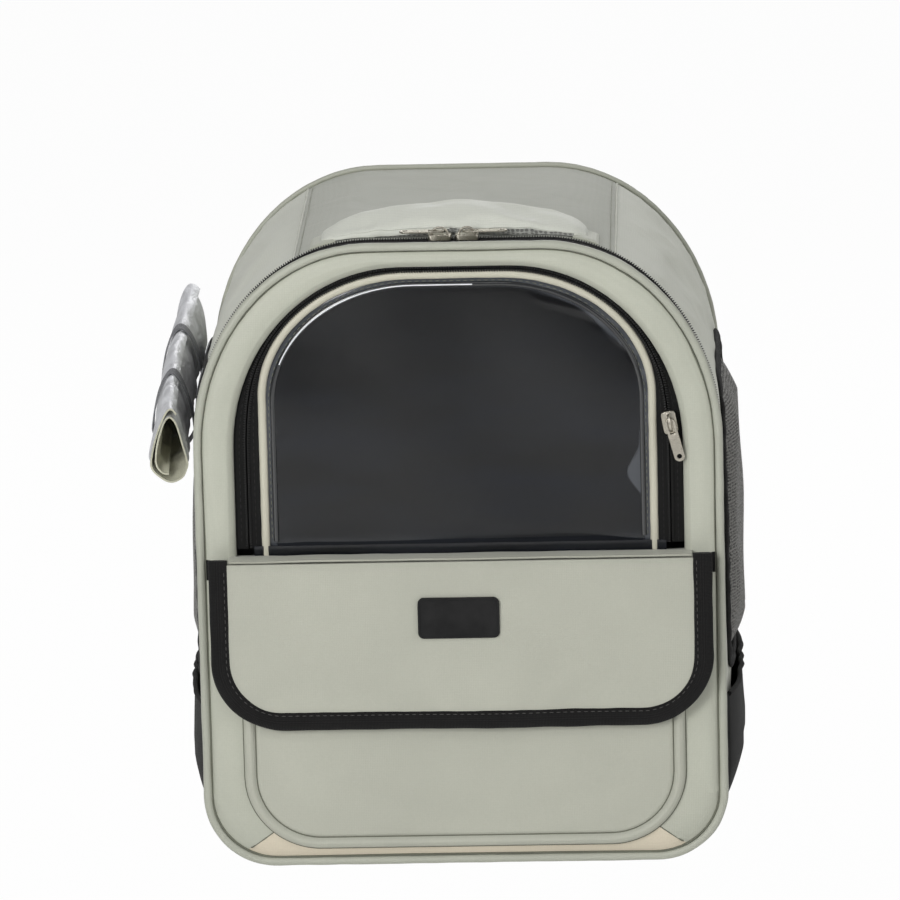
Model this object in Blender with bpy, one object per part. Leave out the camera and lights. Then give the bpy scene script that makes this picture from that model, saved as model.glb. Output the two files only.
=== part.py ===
"""A soft dog basket that hangs on the front of a bicycle, built at its real size in metres.

The front faces -Y, +X is to the right of someone who looks at the front, and the origin is the
middle of the flat base. Each sewn or moulded piece is its own object.
"""

import math

import bmesh
import bpy
from mathutils import Matrix, Vector

# Driving sizes of the bag
body_width = 0.330
body_height = 0.400
body_depth = 0.250
crown_width = 0.100
crown_height = 0.130
foot_radius = 0.045
wall = 0.004
seat_gap = 0.0003
cut_overrun = 0.003

# Front door, its piping and the zip that runs round it
door_thickness = 0.010
piping_radius = 0.003
door_tape_width = 0.0047
tape_thickness = 0.0015
tape_inset = 0.002
zip_flange = 0.005
tape_foot_height = 0.050

# Window opening in the door
ring_width = 0.025
window_sill = 0.200
window_crown_gap = 0.016
window_crown_width = 0.095
window_crown_height = 0.115

# Window door inside that opening
trim_side_gap = 0.016
trim_top_gap = 0.003
trim_crown_width_step = 0.010
trim_crown_height_step = 0.035
trim_width = 0.0056
trim_thickness = 0.004
zip_line_share = 0.5
pane_thickness = 0.001
pane_lap = 0.0035
hinge_tape_height = 0.0055
window_setback = 0.002

# Front pocket and its flap
pocket_side_margin = 0.026
pocket_bottom = 0.012
pocket_top = 0.184
pocket_foot_radius = 0.048
pocket_reach = 0.0095
cloth = 0.0025
flap_side_margin = 0.008
flap_bottom = 0.092
flap_foot_radius = 0.045
binding_width = 0.012
binding_thickness = 0.0045
flap_tab_width = 0.005
flap_tab_height = 0.013
patch_width = 0.051
patch_height = 0.026
patch_radius = 0.004
patch_thickness = 0.002
patch_centre_height = 0.160
grip_tape_width = 0.060
grip_tape_height = 0.018
grip_tape_thickness = 0.001
grip_tape_centre_height = 0.118

# Top, side and base panels
top_seam = 0.100
side_bulge = 0.006
bulge_start = 0.060
bulge_span = 0.380

# Side windows, their bindings and the low side pockets
side_window_front = -0.078
side_window_back = 0.092
side_window_bottom = 0.108
side_window_top = 0.298
side_window_radius = 0.030
mesh_thickness = 0.0015
mesh_lap = 0.005
left_pouch = 0.003
right_pouch = 0.008
side_binding_width = 0.007
side_pocket_front = -0.088
side_pocket_back = 0.102
side_pocket_bottom = 0.018
side_pocket_top = 0.098
side_pocket_rise_share = 0.4
side_pocket_fullness_share = 1.15
side_pocket_bulge = 0.0075

# Rear panel and what it carries
rear_thickness = 0.009
rear_piping_radius = 0.002
board_thickness = 0.003
board_side_gap = 0.002
plate_width = 0.112
plate_height = 0.086
plate_thickness = 0.005
plate_radius = 0.008
plate_drop = 0.088
hook_offset = 0.034
hook_width = 0.014
hook_reach = 0.018
hook_thickness = 0.005
hook_drop = 0.014
button_width = 0.022
button_height = 0.014
button_depth = 0.009
button_travel = 0.005
button_rim = 0.003
screw_radius = 0.004
screw_head = 0.002
screw_offset_x = 0.046
screw_offset_z = 0.033

# Rubber pad low on the rear wall, which rests against the frame behind
pad_width = 0.080
pad_height = 0.040
pad_thickness = 0.004
pad_radius = 0.006
pad_centre_height = 0.090

# Floor of the cabin
cushion_inset = 0.006
cushion_thickness = 0.010
cushion_crown = 0.014
cushion_channel_depth = 0.005
cushion_channel_width = 0.010
cushion_draw = 0.003

# Carry handle on the top
handle_half_span = 0.082
handle_half_grip = 0.062
handle_gap = 0.006
handle_rise = 0.004
handle_width = 0.030
handle_end_width = 0.024
handle_thickness = 0.013
handle_round_share = 0.9
handle_line = 0.018
handle_lining_width = 0.022
handle_lining_thickness = 0.0015
handle_tab_length = 0.016
handle_tab_thickness = 0.0015

# Zip sliders and pulls
slider_width = 0.0090
slider_length = 0.0145
slider_depth = 0.0035
bridge_width = 0.0018
bridge_thickness = 0.0014
bridge_height = 0.0034
bridge_length = 0.0115
pull_width = 0.0066
pull_length = 0.0280
pull_thickness = 0.0012
pull_slot_width = 0.0034
pull_slot_length = 0.0085
pull_eye_bar = 0.0015
pull_offset = 0.0022
pull_head_share = 0.999
pull_hole_radius = 0.0016
window_slider_height = 0.283
window_slider_clearance = 0.00186
window_slider_lean = math.radians(10.0)
window_pull_lean = math.radians(15.0)
top_slider_offset = 0.0085

# Rolled cover of the left window
roll_front = -0.104
roll_back = 0.104
roll_half_width = 0.0115
roll_half_height = 0.0255
roll_front_height = 0.268
roll_back_height = 0.302
roll_cloth = 0.0022
roll_layer_gap = 0.0013
roll_turns = 1.45
tie_width = 0.008
tie_thickness = 0.001
tie_place_shares = (0.30, 0.66)

# Safety tether inside
tether_x = 0.060
tether_top = 0.300
tether_width = 0.015
tether_thickness = 0.002
tether_length = 0.110
tether_stub_height = 0.018
tether_stub_depth = 0.006
swivel_height = 0.016
swivel_radius = 0.0030
neck_share = 0.8
hook_barrel_radius = 0.0045
hook_barrel_length = 0.024
hook_wire_radius = 0.0020
hook_eye_radius = 0.0085
trigger_radius = 0.0014
knob_width_share = 0.9
knob_reach_share = 0.5
trigger_knob = 0.0045
trigger_travel = 0.006

# Counts of straight pieces in the curves
crown_steps = 8
foot_steps = 5
side_rows = 8
side_straight_steps = 7
small_steps = 4

# Places worked out from the sizes above
half_width = body_width / 2
window_half_width = half_width - ring_width
window_top = body_height - window_crown_gap
pocket_half_width = half_width - pocket_side_margin
flap_half_width = half_width - flap_side_margin
plate_centre_height = body_height - plate_drop
trim_half_width = window_half_width - trim_side_gap
trim_top = window_top - trim_top_gap
trim_crown_width = window_crown_width - trim_crown_width_step
trim_crown_height = window_crown_height - trim_crown_height_step
front = -body_depth / 2 + piping_radius
door_back = front + door_thickness
door_tape_front = door_back + seat_gap
door_tape_back = door_tape_front + door_tape_width
body_tape_front = door_tape_back + seat_gap
body_tape_back = body_tape_front + door_tape_width
panel_front = body_tape_back + seat_gap
rear_back = body_depth / 2
rear_front = rear_back - rear_thickness
panel_back = rear_front - seat_gap
panel_depth = panel_back - panel_front
base_half_width = half_width - tape_inset - foot_radius
roof = body_height - tape_inset
window_front = front + window_setback
window_tape_back = window_front + trim_thickness
pocket_front = front - seat_gap - pocket_reach
loop_tape_front = pocket_front - seat_gap - grip_tape_thickness
hook_tape_front = loop_tape_front - seat_gap - grip_tape_thickness
flap_back = hook_tape_front - seat_gap
flap_front = flap_back - cloth
binding_front = flap_front - (binding_thickness - cloth) / 2
roll_clearance = tie_thickness + tape_thickness + 4 * seat_gap
zip_line = trim_half_width + (window_half_width - trim_half_width) * zip_line_share


def clear_scene():
    """Empty the scene of whatever it started with."""
    for obj in list(bpy.data.objects):
        bpy.data.objects.remove(obj)


def make_material(name, colour, roughness, metallic=0.0, alpha=1.0):
    material = bpy.data.materials.new(name)
    material.use_nodes = True
    shader = material.node_tree.nodes["Principled BSDF"]
    shader.inputs["Base Color"].default_value = (*colour, 1.0)
    shader.inputs["Roughness"].default_value = roughness
    shader.inputs["Metallic"].default_value = metallic
    shader.inputs["Alpha"].default_value = alpha
    material.diffuse_color = (*colour, alpha)
    return material


def make_body(name, pivot, parent=None):
    """An empty on a joint's axis, which carries the pieces that move together."""
    empty = bpy.data.objects.new(name, None)
    bpy.context.collection.objects.link(empty)
    empty.empty_display_size = piping_radius
    empty.location = pivot
    if parent is not None:
        empty.location = Vector(pivot) - pivot_of(parent)
        empty.parent = parent
    return empty


def pivot_of(empty):
    """Where an empty stands in the world, through its parents."""
    place = Vector(empty.location)
    while empty.parent is not None:
        empty = empty.parent
        place += Vector(empty.location)
    return place


def make_object(name, bm, material, parent=None, smooth=True):
    """Turn a closed bmesh in world coordinates into a named object."""
    bmesh.ops.recalc_face_normals(bm, faces=bm.faces)
    mesh = bpy.data.meshes.new(name)
    bm.to_mesh(mesh)
    bm.free()
    if smooth:
        mesh.shade_smooth()
        mesh.set_sharp_from_angle(angle=math.radians(40.0))
    obj = bpy.data.objects.new(name, mesh)
    bpy.context.collection.objects.link(obj)
    if material is not None:
        mesh.materials.append(material)
    if parent is not None:
        mesh.transform(Matrix.Translation(-pivot_of(parent)))
        obj.parent = parent
    return obj


def add_boolean(obj, bm, operation):
    """Cut a helper solid from an object, or join it on, as a modifier."""
    helper = make_object(obj.name + "_helper", bm, None, obj.parent, smooth=False)
    helper.hide_render = True
    helper.display_type = "WIRE"
    modifier = obj.modifiers.new(operation.title(), "BOOLEAN")
    modifier.object = helper
    modifier.operation = operation
    modifier.solver = "EXACT"
    return obj


def box(x0, x1, y0, y1, z0, z1):
    bm = bmesh.new()
    bmesh.ops.create_cube(bm, size=1)
    size = Matrix.Diagonal((x1 - x0, y1 - y0, z1 - z0, 1))
    middle = Matrix.Translation(((x0 + x1) / 2, (y0 + y1) / 2, (z0 + z1) / 2))
    bm.transform(middle @ size)
    return bm


def cylinder(radius, length, steps, turn=Matrix.Identity(4)):
    """A round bar along Z about the origin, then turned and placed."""
    bm = bmesh.new()
    bmesh.ops.create_cone(
        bm, cap_ends=True, segments=steps, radius1=radius, radius2=radius, depth=length
    )
    bm.transform(turn)
    return bm


def joined(*parts):
    """Several bmeshes in one, for solids that a Boolean will join."""
    bm = bmesh.new()
    for part in parts:
        mesh = bpy.data.meshes.new("joined")
        part.to_mesh(mesh)
        part.free()
        bm.from_mesh(mesh)
        bpy.data.meshes.remove(mesh)
    return bm


def arc(centre_x, centre_z, radius_x, radius_z, start, end, steps):
    """Points of an elliptic arc in X-Z, angles in degrees."""
    points = []
    for step in range(steps + 1):
        angle = math.radians(start + (end - start) * step / steps)
        points.append(
            (centre_x + radius_x * math.cos(angle), centre_z + radius_z * math.sin(angle))
        )
    return points


def panel_outline(inset=0.0):
    """Closed outline of the bag seen from the front, from the lower right corner round."""
    side = half_width - inset
    foot = foot_radius - inset
    wide = crown_width - inset
    high = crown_height - inset
    top = body_height - inset
    return (
        arc(side - foot, inset + foot, foot, foot, -90, 0, foot_steps)
        + arc(side - wide, top - high, wide, high, 0, 90, crown_steps)
        + arc(wide - side, top - high, wide, high, 90, 180, crown_steps)
        + arc(foot - side, inset + foot, foot, foot, 180, 270, foot_steps)
    )


def arch_outline(side, bottom, top, wide, high):
    """Open outline of a window's sides and crown, from the lower right round to the left."""
    return (
        [(side, bottom)]
        + arc(side - wide, top - high, wide, high, 0, 90, crown_steps)
        + arc(wide - side, top - high, wide, high, 90, 180, crown_steps)
        + [(-side, bottom)]
    )


def bag_outline(side, bottom, top, foot, steps=foot_steps):
    """Open outline of a pocket or flap, from its upper right down and round to its upper left."""
    return (
        [(side, top)]
        + arc(side - foot, bottom + foot, foot, foot, 0, -90, steps)
        + arc(foot - side, bottom + foot, foot, foot, -90, -180, steps)
        + [(-side, top)]
    )


def prism(points, y0, y1):
    """A closed outline in X-Z carried straight from y0 to y1."""
    bm = bmesh.new()
    rings = [[bm.verts.new((x, y, z)) for x, z in points] for y in (y0, y1)]
    for ring in rings:
        bm.faces.new(ring)
    count = len(points)
    for index in range(count):
        after = (index + 1) % count
        bm.faces.new((rings[0][index], rings[0][after], rings[1][after], rings[1][index]))
    return bm


def band(outer, inner, y0, y1, closed=False):
    """A flat strip between two outlines in X-Z, from y0 to y1."""
    bm = bmesh.new()
    rows = [
        [bm.verts.new((x, y, z)) for x, z in outline]
        for outline, y in ((outer, y0), (outer, y1), (inner, y1), (inner, y0))
    ]
    skin_rows(bm, rows, closed)
    return bm


def skin_rows(bm, rows, closed):
    """Join four long rows of vertices into one tube of rectangular section."""
    count = len(rows[0])
    for index in range(count if closed else count - 1):
        after = (index + 1) % count
        for first, second in zip(rows, rows[1:] + rows[:1]):
            bm.faces.new((first[index], first[after], second[after], second[index]))
    if not closed:
        bm.faces.new([row[0] for row in rows])
        bm.faces.new([row[-1] for row in rows])


def sheet_between(outer_rows, inner_rows):
    """A closed sheet between two grids of points, edges closed all round."""
    bm = bmesh.new()
    outer = [[bm.verts.new(point) for point in row] for row in outer_rows]
    inner = [[bm.verts.new(point) for point in row] for row in inner_rows]
    for grid in (outer, inner):
        for low, high in zip(grid, grid[1:]):
            for index in range(len(low) - 1):
                bm.faces.new((low[index], low[index + 1], high[index + 1], high[index]))
    edges = [
        (outer[0], inner[0]),
        (outer[-1], inner[-1]),
        ([row[0] for row in outer], [row[0] for row in inner]),
        ([row[-1] for row in outer], [row[-1] for row in inner]),
    ]
    for one, two in edges:
        for index in range(len(one) - 1):
            bm.faces.new((one[index], one[index + 1], two[index + 1], two[index]))
    return bm


def ring_tube(points, y, radius, sides):
    """A round tube along a closed outline in X-Z."""
    bm = bmesh.new()
    normals = outline_normals(points, closed=True)
    rows = []
    for side in range(sides):
        angle = 2 * math.pi * side / sides
        across = radius * math.cos(angle)
        rows.append(
            [
                bm.verts.new((x + nx * across, y + radius * math.sin(angle), z + nz * across))
                for (x, z), (nx, nz) in zip(points, normals)
            ]
        )
    skin_rows(bm, rows, closed=True)
    return bm


def outline_normals(points, closed=False):
    """Unit normals of an outline in X-Z, which point to the right of its direction."""
    normals = []
    last = len(points) - 1
    for index in range(len(points)):
        before = points[index - 1] if closed or index else points[0]
        after = points[(index + 1) % len(points)] if closed or index < last else points[last]
        along = Vector((after[0] - before[0], after[1] - before[1])).normalized()
        normals.append((along.y, -along.x))
    return normals


def bulge_at(y, z):
    """How far a side panel is pushed out by the soft walls at a depth and a height."""
    depth_share = (y - panel_front) / panel_depth
    across = 4 * depth_share * (1 - depth_share)
    up = math.sin(math.pi * min(max((z + bulge_start) / bulge_span, 0.0), 1.0))
    return side_bulge * across * up


def side_path():
    """Right half of the bag's section in X-Z, from the top seam down to the base seam."""
    side = half_width - tape_inset
    wide = crown_width - tape_inset
    high = crown_height - tape_inset
    foot = foot_radius - tape_inset
    start = math.degrees(math.acos((top_seam - (side - wide)) / wide))
    crown = arc(side - wide, roof - high, wide, high, start, 0, crown_steps)
    foot_arc = arc(side - foot, foot, foot, foot, 0, -90, foot_steps)
    straight = []
    for step in range(1, side_straight_steps):
        share = step / side_straight_steps
        straight.append((side, crown[-1][1] + (foot_arc[0][1] - crown[-1][1]) * share))
    return crown + straight + foot_arc


def side_x(y, z):
    """Outer face of the right side panel at a depth and a height."""
    side = half_width - tape_inset
    wide = crown_width - tape_inset
    high = crown_height - tape_inset
    foot = foot_radius - tape_inset
    x = side
    if z > roof - high:
        x = side - wide + wide * math.sqrt(max(1 - ((z - roof + high) / high) ** 2, 0.0))
    if z < foot:
        x = side - foot + math.sqrt(max(foot**2 - (foot - z) ** 2, 0.0))
    return x + bulge_at(y, z)


def seam_normal():
    """Unit normal of the bag's crown at the right top seam."""
    side = half_width - tape_inset
    wide = crown_width - tape_inset
    high = crown_height - tape_inset
    angle = math.acos((top_seam - (side - wide)) / wide)
    normal = Vector((math.cos(angle) / wide, math.sin(angle) / high)).normalized()
    return (normal.x, normal.y)


def roof_height(x):
    """Outer face of the top of the bag at a distance from its middle."""
    side = half_width - tape_inset
    wide = crown_width - tape_inset
    high = crown_height - tape_inset
    over = max(abs(x) - (side - wide), 0.0)
    return roof - high + high * math.sqrt(1 - (over / wide) ** 2)


def rounded_box_outline(y0, y1, z0, z1, radius, side_steps):
    """Closed outline of a rounded window in Y-Z with points along its straight sides."""
    corners = [
        (y1 - radius, z0 + radius, -90),
        (y1 - radius, z1 - radius, 0),
        (y0 + radius, z1 - radius, 90),
        (y0 + radius, z0 + radius, 180),
    ]
    points = []
    for index, (y, z, start) in enumerate(corners):
        points += arc(y, z, radius, radius, start, start + 90, small_steps)
        next_y, next_z, next_start = corners[(index + 1) % len(corners)]
        begin = arc(next_y, next_z, radius, radius, next_start, next_start + 90, 1)[0]
        end = points[-1]
        for step in range(1, side_steps):
            share = step / side_steps
            points.append(
                (end[0] + (begin[0] - end[0]) * share, end[1] + (begin[1] - end[1]) * share)
            )
    return points


def make_base(cloth_colour, black, body):
    """Flat base, its stiff board, and the strip that hinges the front door."""
    make_object(
        "base_panel",
        box(seat_gap - base_half_width, base_half_width - seat_gap, panel_front, panel_back, 0, wall),
        cloth_colour,
        body,
        smooth=False,
    )
    make_object(
        "door_hinge_strip",
        box(
            -base_half_width,
            base_half_width,
            door_tape_front,
            body_tape_back,
            tape_inset,
            tape_inset + zip_flange,
        ),
        black,
        body,
        smooth=False,
    )


def make_floor(board_colour, lining, body):
    """Stiff floor board and the soft pad that lies on it."""
    board_bottom = wall + seat_gap
    board_top = board_bottom + board_thickness
    board_side = base_half_width
    cabin_back = rear_front - board_thickness - 2 * seat_gap
    make_object(
        "floor_board",
        box(-board_side, board_side, panel_front, cabin_back - seat_gap, board_bottom, board_top),
        board_colour,
        body,
        smooth=False,
    )
    half_x = board_side - cushion_inset
    centre_y = (panel_front + cabin_back) / 2
    half_y = (cabin_back - panel_front) / 2 - cushion_inset
    bottom = board_top + seat_gap
    columns = 24
    rows = 18
    channel_shares = (-0.34, 0.34)
    top_rows = []
    low_rows = []
    for row in range(rows + 1):
        v = 2 * row / rows - 1
        top_row = []
        low_row = []
        for column in range(columns + 1):
            u = 2 * column / columns - 1
            x = half_x * u - math.copysign(cushion_draw, u) * abs(u) * (1 - v * v)
            y = centre_y + half_y * v - math.copysign(cushion_draw, v) * abs(v) * (1 - u * u)
            crown = cushion_crown * (1 - u**4) * (1 - v**4)
            for share in channel_shares:
                apart = (u - share) * half_x / cushion_channel_width
                crown -= cushion_channel_depth * math.exp(-apart * apart) * (1 - v**4)
            top_row.append((x, y, bottom + cushion_thickness + crown))
            low_row.append((x, y, bottom))
        top_rows.append(top_row)
        low_rows.append(low_row)
    make_object("floor_cushion", sheet_between(top_rows, low_rows), lining, body)


def make_rear(cloth_colour, board_colour, piping_colour, body):
    """Padded rear wall, the stiff board inside it and its thin piping."""
    outline = panel_outline(2 * rear_piping_radius + seat_gap)
    make_object("rear_panel", prism(outline, rear_front, rear_back), cloth_colour, body)
    board = panel_outline(tape_inset + wall + board_side_gap)
    make_object(
        "rear_board",
        prism(board, rear_front - seat_gap - board_thickness, rear_front - seat_gap),
        board_colour,
        body,
    )
    make_object(
        "rear_piping",
        ring_tube(
            panel_outline(rear_piping_radius),
            rear_back - rear_piping_radius,
            rear_piping_radius,
            6,
        ),
        piping_colour,
        body,
    )


def make_side(sign, names, colours, body):
    """One side wall with its window, binding, mesh and low pocket. The sign is -1 on the left."""
    panel_name, mesh_name, binding_name, pocket_name = names
    cloth_colour, mesh_colour, black = colours
    path = side_path()
    normals = [(-nx, -nz) for nx, nz in outline_normals(path)]
    normals[0] = seam_normal()
    outer_rows = []
    inner_rows = []
    for row in range(side_rows + 1):
        y = panel_front + panel_depth * row / side_rows
        outer = []
        inner = []
        for (x, z), (nx, nz) in zip(path, normals):
            pushed = x + bulge_at(y, z) * nx * nx
            outer.append((sign * pushed, y, z))
            inner.append((sign * (pushed - wall * nx), y, z - wall * nz))
        outer_rows.append(outer)
        inner_rows.append(inner)
    panel = make_object(panel_name, sheet_between(outer_rows, inner_rows), cloth_colour, body)
    hole = rounded_box_outline(
        side_window_front, side_window_back, side_window_bottom, side_window_top,
        side_window_radius, 1,
    )
    cutter = prism([(y, z) for y, z in hole], half_width - foot_radius, half_width + foot_radius)
    cutter.transform(Matrix(((0, sign, 0, 0), (1, 0, 0, 0), (0, 0, 1, 0), (0, 0, 0, 1))))
    add_boolean(panel, cutter, "DIFFERENCE")
    make_side_mesh(mesh_name, sign, mesh_colour, body)
    make_side_binding(binding_name, sign, black, body)
    make_side_pocket(pocket_name, sign, black, body)


def side_grid(sign, y_range, z_range, columns, rows, lift):
    """Rows of points off a side panel, each lifted from its outer face by lift(u, v)."""
    grid = []
    for row in range(rows + 1):
        v = row / rows
        z = z_range[0] + (z_range[1] - z_range[0]) * v
        line = []
        for column in range(columns + 1):
            u = column / columns
            y = y_range[0] + (y_range[1] - y_range[0]) * u
            line.append((sign * (side_x(y, z) + lift(u, v)), y, z))
        grid.append(line)
    return grid


def make_side_mesh(name, sign, mesh_colour, body):
    """Netting behind a side window, which swells out through it."""
    pouch = right_pouch if sign > 0 else left_pouch
    y_range = (side_window_front - mesh_lap, side_window_back + mesh_lap)
    z_range = (side_window_bottom - mesh_lap, side_window_top + mesh_lap)
    border_share = 0.09

    def swell(u, v):
        across = min(max((u - border_share) / (1 - 2 * border_share), 0.0), 1.0)
        up = min(max((v - border_share) / (1 - 2 * border_share), 0.0), 1.0)
        rise = math.sqrt(4 * across * (1 - across)) * math.sqrt(4 * up * (1 - up))
        return (pouch + wall) * min(rise, 1.0)

    behind = wall + 2 * seat_gap
    columns = 12
    rows = 12
    outer = side_grid(sign, y_range, z_range, columns, rows, lambda u, v: swell(u, v) - behind)
    inner = side_grid(
        sign, y_range, z_range, columns, rows, lambda u, v: swell(u, v) - behind - mesh_thickness
    )
    make_object(name, sheet_between(outer, inner), mesh_colour, body)


def make_side_binding(name, sign, black, body):
    """Black tape sewn round the edge of a side window."""
    outlines = []
    for grow in (side_binding_width, 0.0):
        outlines.append(
            rounded_box_outline(
                side_window_front - grow, side_window_back + grow,
                side_window_bottom - grow, side_window_top + grow,
                side_window_radius + grow, side_rows,
            )
        )
    bm = bmesh.new()
    low = 2 * seat_gap
    rows = []
    for outline, lift in ((0, low), (0, low + tape_thickness), (1, low + tape_thickness), (1, low)):
        rows.append(
            [bm.verts.new((sign * (side_x(y, z) + lift), y, z)) for y, z in outlines[outline]]
        )
    skin_rows(bm, rows, closed=True)
    make_object(name, bm, black, body)


def make_side_pocket(name, sign, black, body):
    """Low slip pocket on a side wall, sewn at three edges and open at its top."""
    y_range = (side_pocket_front, side_pocket_back)
    z_range = (side_pocket_bottom, side_pocket_top)

    def swell(u, v):
        across = min(math.sqrt(4 * u * (1 - u)) * side_pocket_fullness_share, 1)
        return side_pocket_bulge * across * min(v / side_pocket_rise_share, 1)

    low = 2 * seat_gap
    columns = 12
    rows = 5
    outer = side_grid(
        sign, y_range, z_range, columns, rows, lambda u, v: swell(u, v) + low + tape_thickness
    )
    inner = side_grid(sign, y_range, z_range, columns, rows, lambda u, v: swell(u, v) + low)
    make_object(name, sheet_between(outer, inner), black, body)


def make_top(cloth_colour, body):
    """Top panel between the two side seams."""
    side = half_width - tape_inset
    wide = crown_width - tape_inset
    high = crown_height - tape_inset
    edge = top_seam - seat_gap
    start = math.degrees(math.acos((edge - (side - wide)) / wide))
    right = arc(side - wide, roof - high, wide, high, start, 90, small_steps)
    left = [(-x, z) for x, z in reversed(right)]
    outer = right + left
    normals = [(nx, nz) for nx, nz in outline_normals(outer)]
    across, up = seam_normal()
    normals[0] = (across, up)
    normals[-1] = (-across, up)
    inner = [(x - wall * nx, z - wall * nz) for (x, z), (nx, nz) in zip(outer, normals)]
    make_object("top_panel", band(outer, inner, panel_front, panel_back), cloth_colour, body)


def make_zip_tapes(black, body, door):
    """The two halves of the zip that runs round the door, one on the bag and one on the door."""
    outlines = []
    for inset in (tape_inset, tape_inset + zip_flange):
        side = half_width - inset
        wide = crown_width - inset
        high = crown_height - inset
        outlines.append(
            arch_outline(side, tape_foot_height, body_height - inset, wide, high)
        )
    make_object(
        "body_zip_tape", band(*outlines, body_tape_front, body_tape_back), black, body
    )
    make_object(
        "door_zip_tape", band(*outlines, door_tape_front, door_tape_back), black, door
    )


def make_door(cloth_colour, piping_colour, black, door):
    """Front door panel with its window opening, its piping and the window's outer zip tape."""
    panel = make_object(
        "door_panel", prism(panel_outline(2 * piping_radius), front, door_back), cloth_colour, door
    )
    hole = arch_outline(
        window_half_width, window_sill, window_top, window_crown_width, window_crown_height
    )
    add_boolean(panel, prism(hole, front - cut_overrun, door_back + cut_overrun), "DIFFERENCE")
    piping = panel_outline(piping_radius - seat_gap)
    make_object("door_piping", ring_tube(piping, front, piping_radius - seat_gap, 8), piping_colour, door)
    outer = arch_outline(
        window_half_width - seat_gap,
        window_sill + hinge_tape_height,
        window_top - seat_gap,
        window_crown_width,
        window_crown_height,
    )
    inner = window_line(zip_line, seat_gap / 2)
    make_object("window_outer_tape", band(outer, inner, window_front, window_tape_back), black, door)


def window_line(side, grow=0.0):
    """Arched line between the trim's outer edge and the opening's edge, set by its half width."""
    share = (side - trim_half_width) / (window_half_width - trim_half_width)
    top = trim_top + (window_top - trim_top) * share
    wide = trim_crown_width + (window_crown_width - trim_crown_width) * share
    high = trim_crown_height + (window_crown_height - trim_crown_height) * share
    return arch_outline(
        side + grow, window_sill + hinge_tape_height, top + grow, wide + grow, high + grow
    )


def window_edge(height):
    """Half width of the window opening at a height."""
    share = max(height - window_top + window_crown_height, 0) / window_crown_height
    return window_half_width - window_crown_width * (1 - math.sqrt(1 - share * share))


def make_window(trim_colour, clear, black, window, door):
    """Clear window, its cream trim, its inner zip tape and the tape that hinges it."""
    make_object(
        "window_inner_tape",
        band(
            window_line(zip_line, -seat_gap / 2),
            window_line(trim_half_width, seat_gap),
            window_front,
            window_tape_back,
        ),
        black,
        window,
    )
    inner_trim = arch_outline(
        trim_half_width - trim_width,
        window_sill + hinge_tape_height,
        trim_top - trim_width,
        trim_crown_width - trim_width,
        trim_crown_height - trim_width,
    )
    trim_back = window_front + trim_thickness
    make_object(
        "window_trim",
        band(window_line(trim_half_width), inner_trim, window_front, trim_back),
        trim_colour,
        window,
    )
    pane_side = trim_half_width - trim_width + pane_lap
    pane_top = trim_top - trim_width + pane_lap
    pane = arch_outline(
        pane_side,
        window_sill + hinge_tape_height + seat_gap,
        pane_top,
        trim_crown_width - trim_width + pane_lap,
        trim_crown_height - trim_width + pane_lap,
    )
    pane_front = trim_back + seat_gap
    make_object("window_pane", prism(pane, pane_front, pane_front + pane_thickness), clear, window)
    make_object(
        "window_hinge_tape",
        box(
            seat_gap - window_half_width,
            window_half_width - seat_gap,
            window_front,
            pane_front + pane_thickness,
            window_sill + seat_gap,
            window_sill + hinge_tape_height - seat_gap,
        ),
        black,
        door,
        smooth=False,
    )


def make_pocket(cloth_colour, black, door):
    """Front pocket with its open top, and the grip tape that holds the flap."""
    back = front - seat_gap
    outer = bag_outline(pocket_half_width, pocket_bottom, pocket_top, pocket_foot_radius)
    inner = bag_outline(
        pocket_half_width - cloth,
        pocket_bottom + cloth,
        pocket_top + cut_overrun,
        pocket_foot_radius - cloth,
    )
    pocket = make_object("pocket_front", prism(outer, pocket_front, back), cloth_colour, door)
    add_boolean(pocket, prism(inner, pocket_front + cloth, back + cut_overrun), "DIFFERENCE")
    make_grip_tape("pocket_grip_tape", loop_tape_front, black, door)


def make_grip_tape(name, face, black, parent):
    """A strip of hook and loop tape whose front face lies at the given depth."""
    low = grip_tape_centre_height - grip_tape_height / 2
    make_object(
        name,
        box(
            -grip_tape_width / 2,
            grip_tape_width / 2,
            face,
            face + grip_tape_thickness,
            low,
            low + grip_tape_height,
        ),
        black,
        parent,
        smooth=False,
    )


def make_flap(cloth_colour, black, flap, door):
    """Pocket flap with its black binding, bare patch and hook tape, and its two end tabs."""
    side = flap_half_width - binding_width
    foot = flap_foot_radius - binding_width
    inner = bag_outline(side, flap_bottom + binding_width, window_sill, foot)
    grown = [(x, z) for x, z in bag_outline(
        side + seat_gap, flap_bottom + binding_width - seat_gap, window_sill, foot + seat_gap
    )]
    make_object("flap_panel", prism(inner, flap_front, flap_back), cloth_colour, flap)
    ledge_side = flap_half_width - max(flap_tab_width, binding_width) - seat_gap
    ledge = box(
        -ledge_side, ledge_side, flap_back + seat_gap, front + cloth / 2,
        window_sill - cloth, window_sill,
    )
    add_boolean(bpy.data.objects["door_panel"], ledge, "UNION")
    outer = bag_outline(flap_half_width, flap_bottom, window_sill, flap_foot_radius)
    binding_back = binding_front + binding_thickness
    make_object("flap_binding", band(outer, grown, binding_front, binding_back), black, flap)
    make_grip_tape("flap_grip_tape", hook_tape_front, black, flap)
    patch = [
        (x, z + patch_centre_height)
        for x, z in rounded_box_outline(
            -patch_width / 2, patch_width / 2, -patch_height / 2, patch_height / 2, patch_radius, 1
        )
    ]
    patch_back = flap_front - seat_gap
    make_object("flap_patch", prism(patch, patch_back - patch_thickness, patch_back), black, flap)
    for name, sign in (("flap_tab_left", -1), ("flap_tab_right", 1)):
        inside = sign * (flap_half_width - flap_tab_width)
        outside = sign * (half_width - 2 * piping_radius)
        make_object(
            name,
            box(
                min(inside, outside),
                max(inside, outside),
                front - seat_gap - cloth,
                front - seat_gap,
                window_sill - flap_tab_height,
                window_sill,
            ),
            black,
            door,
            smooth=False,
        )


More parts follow.
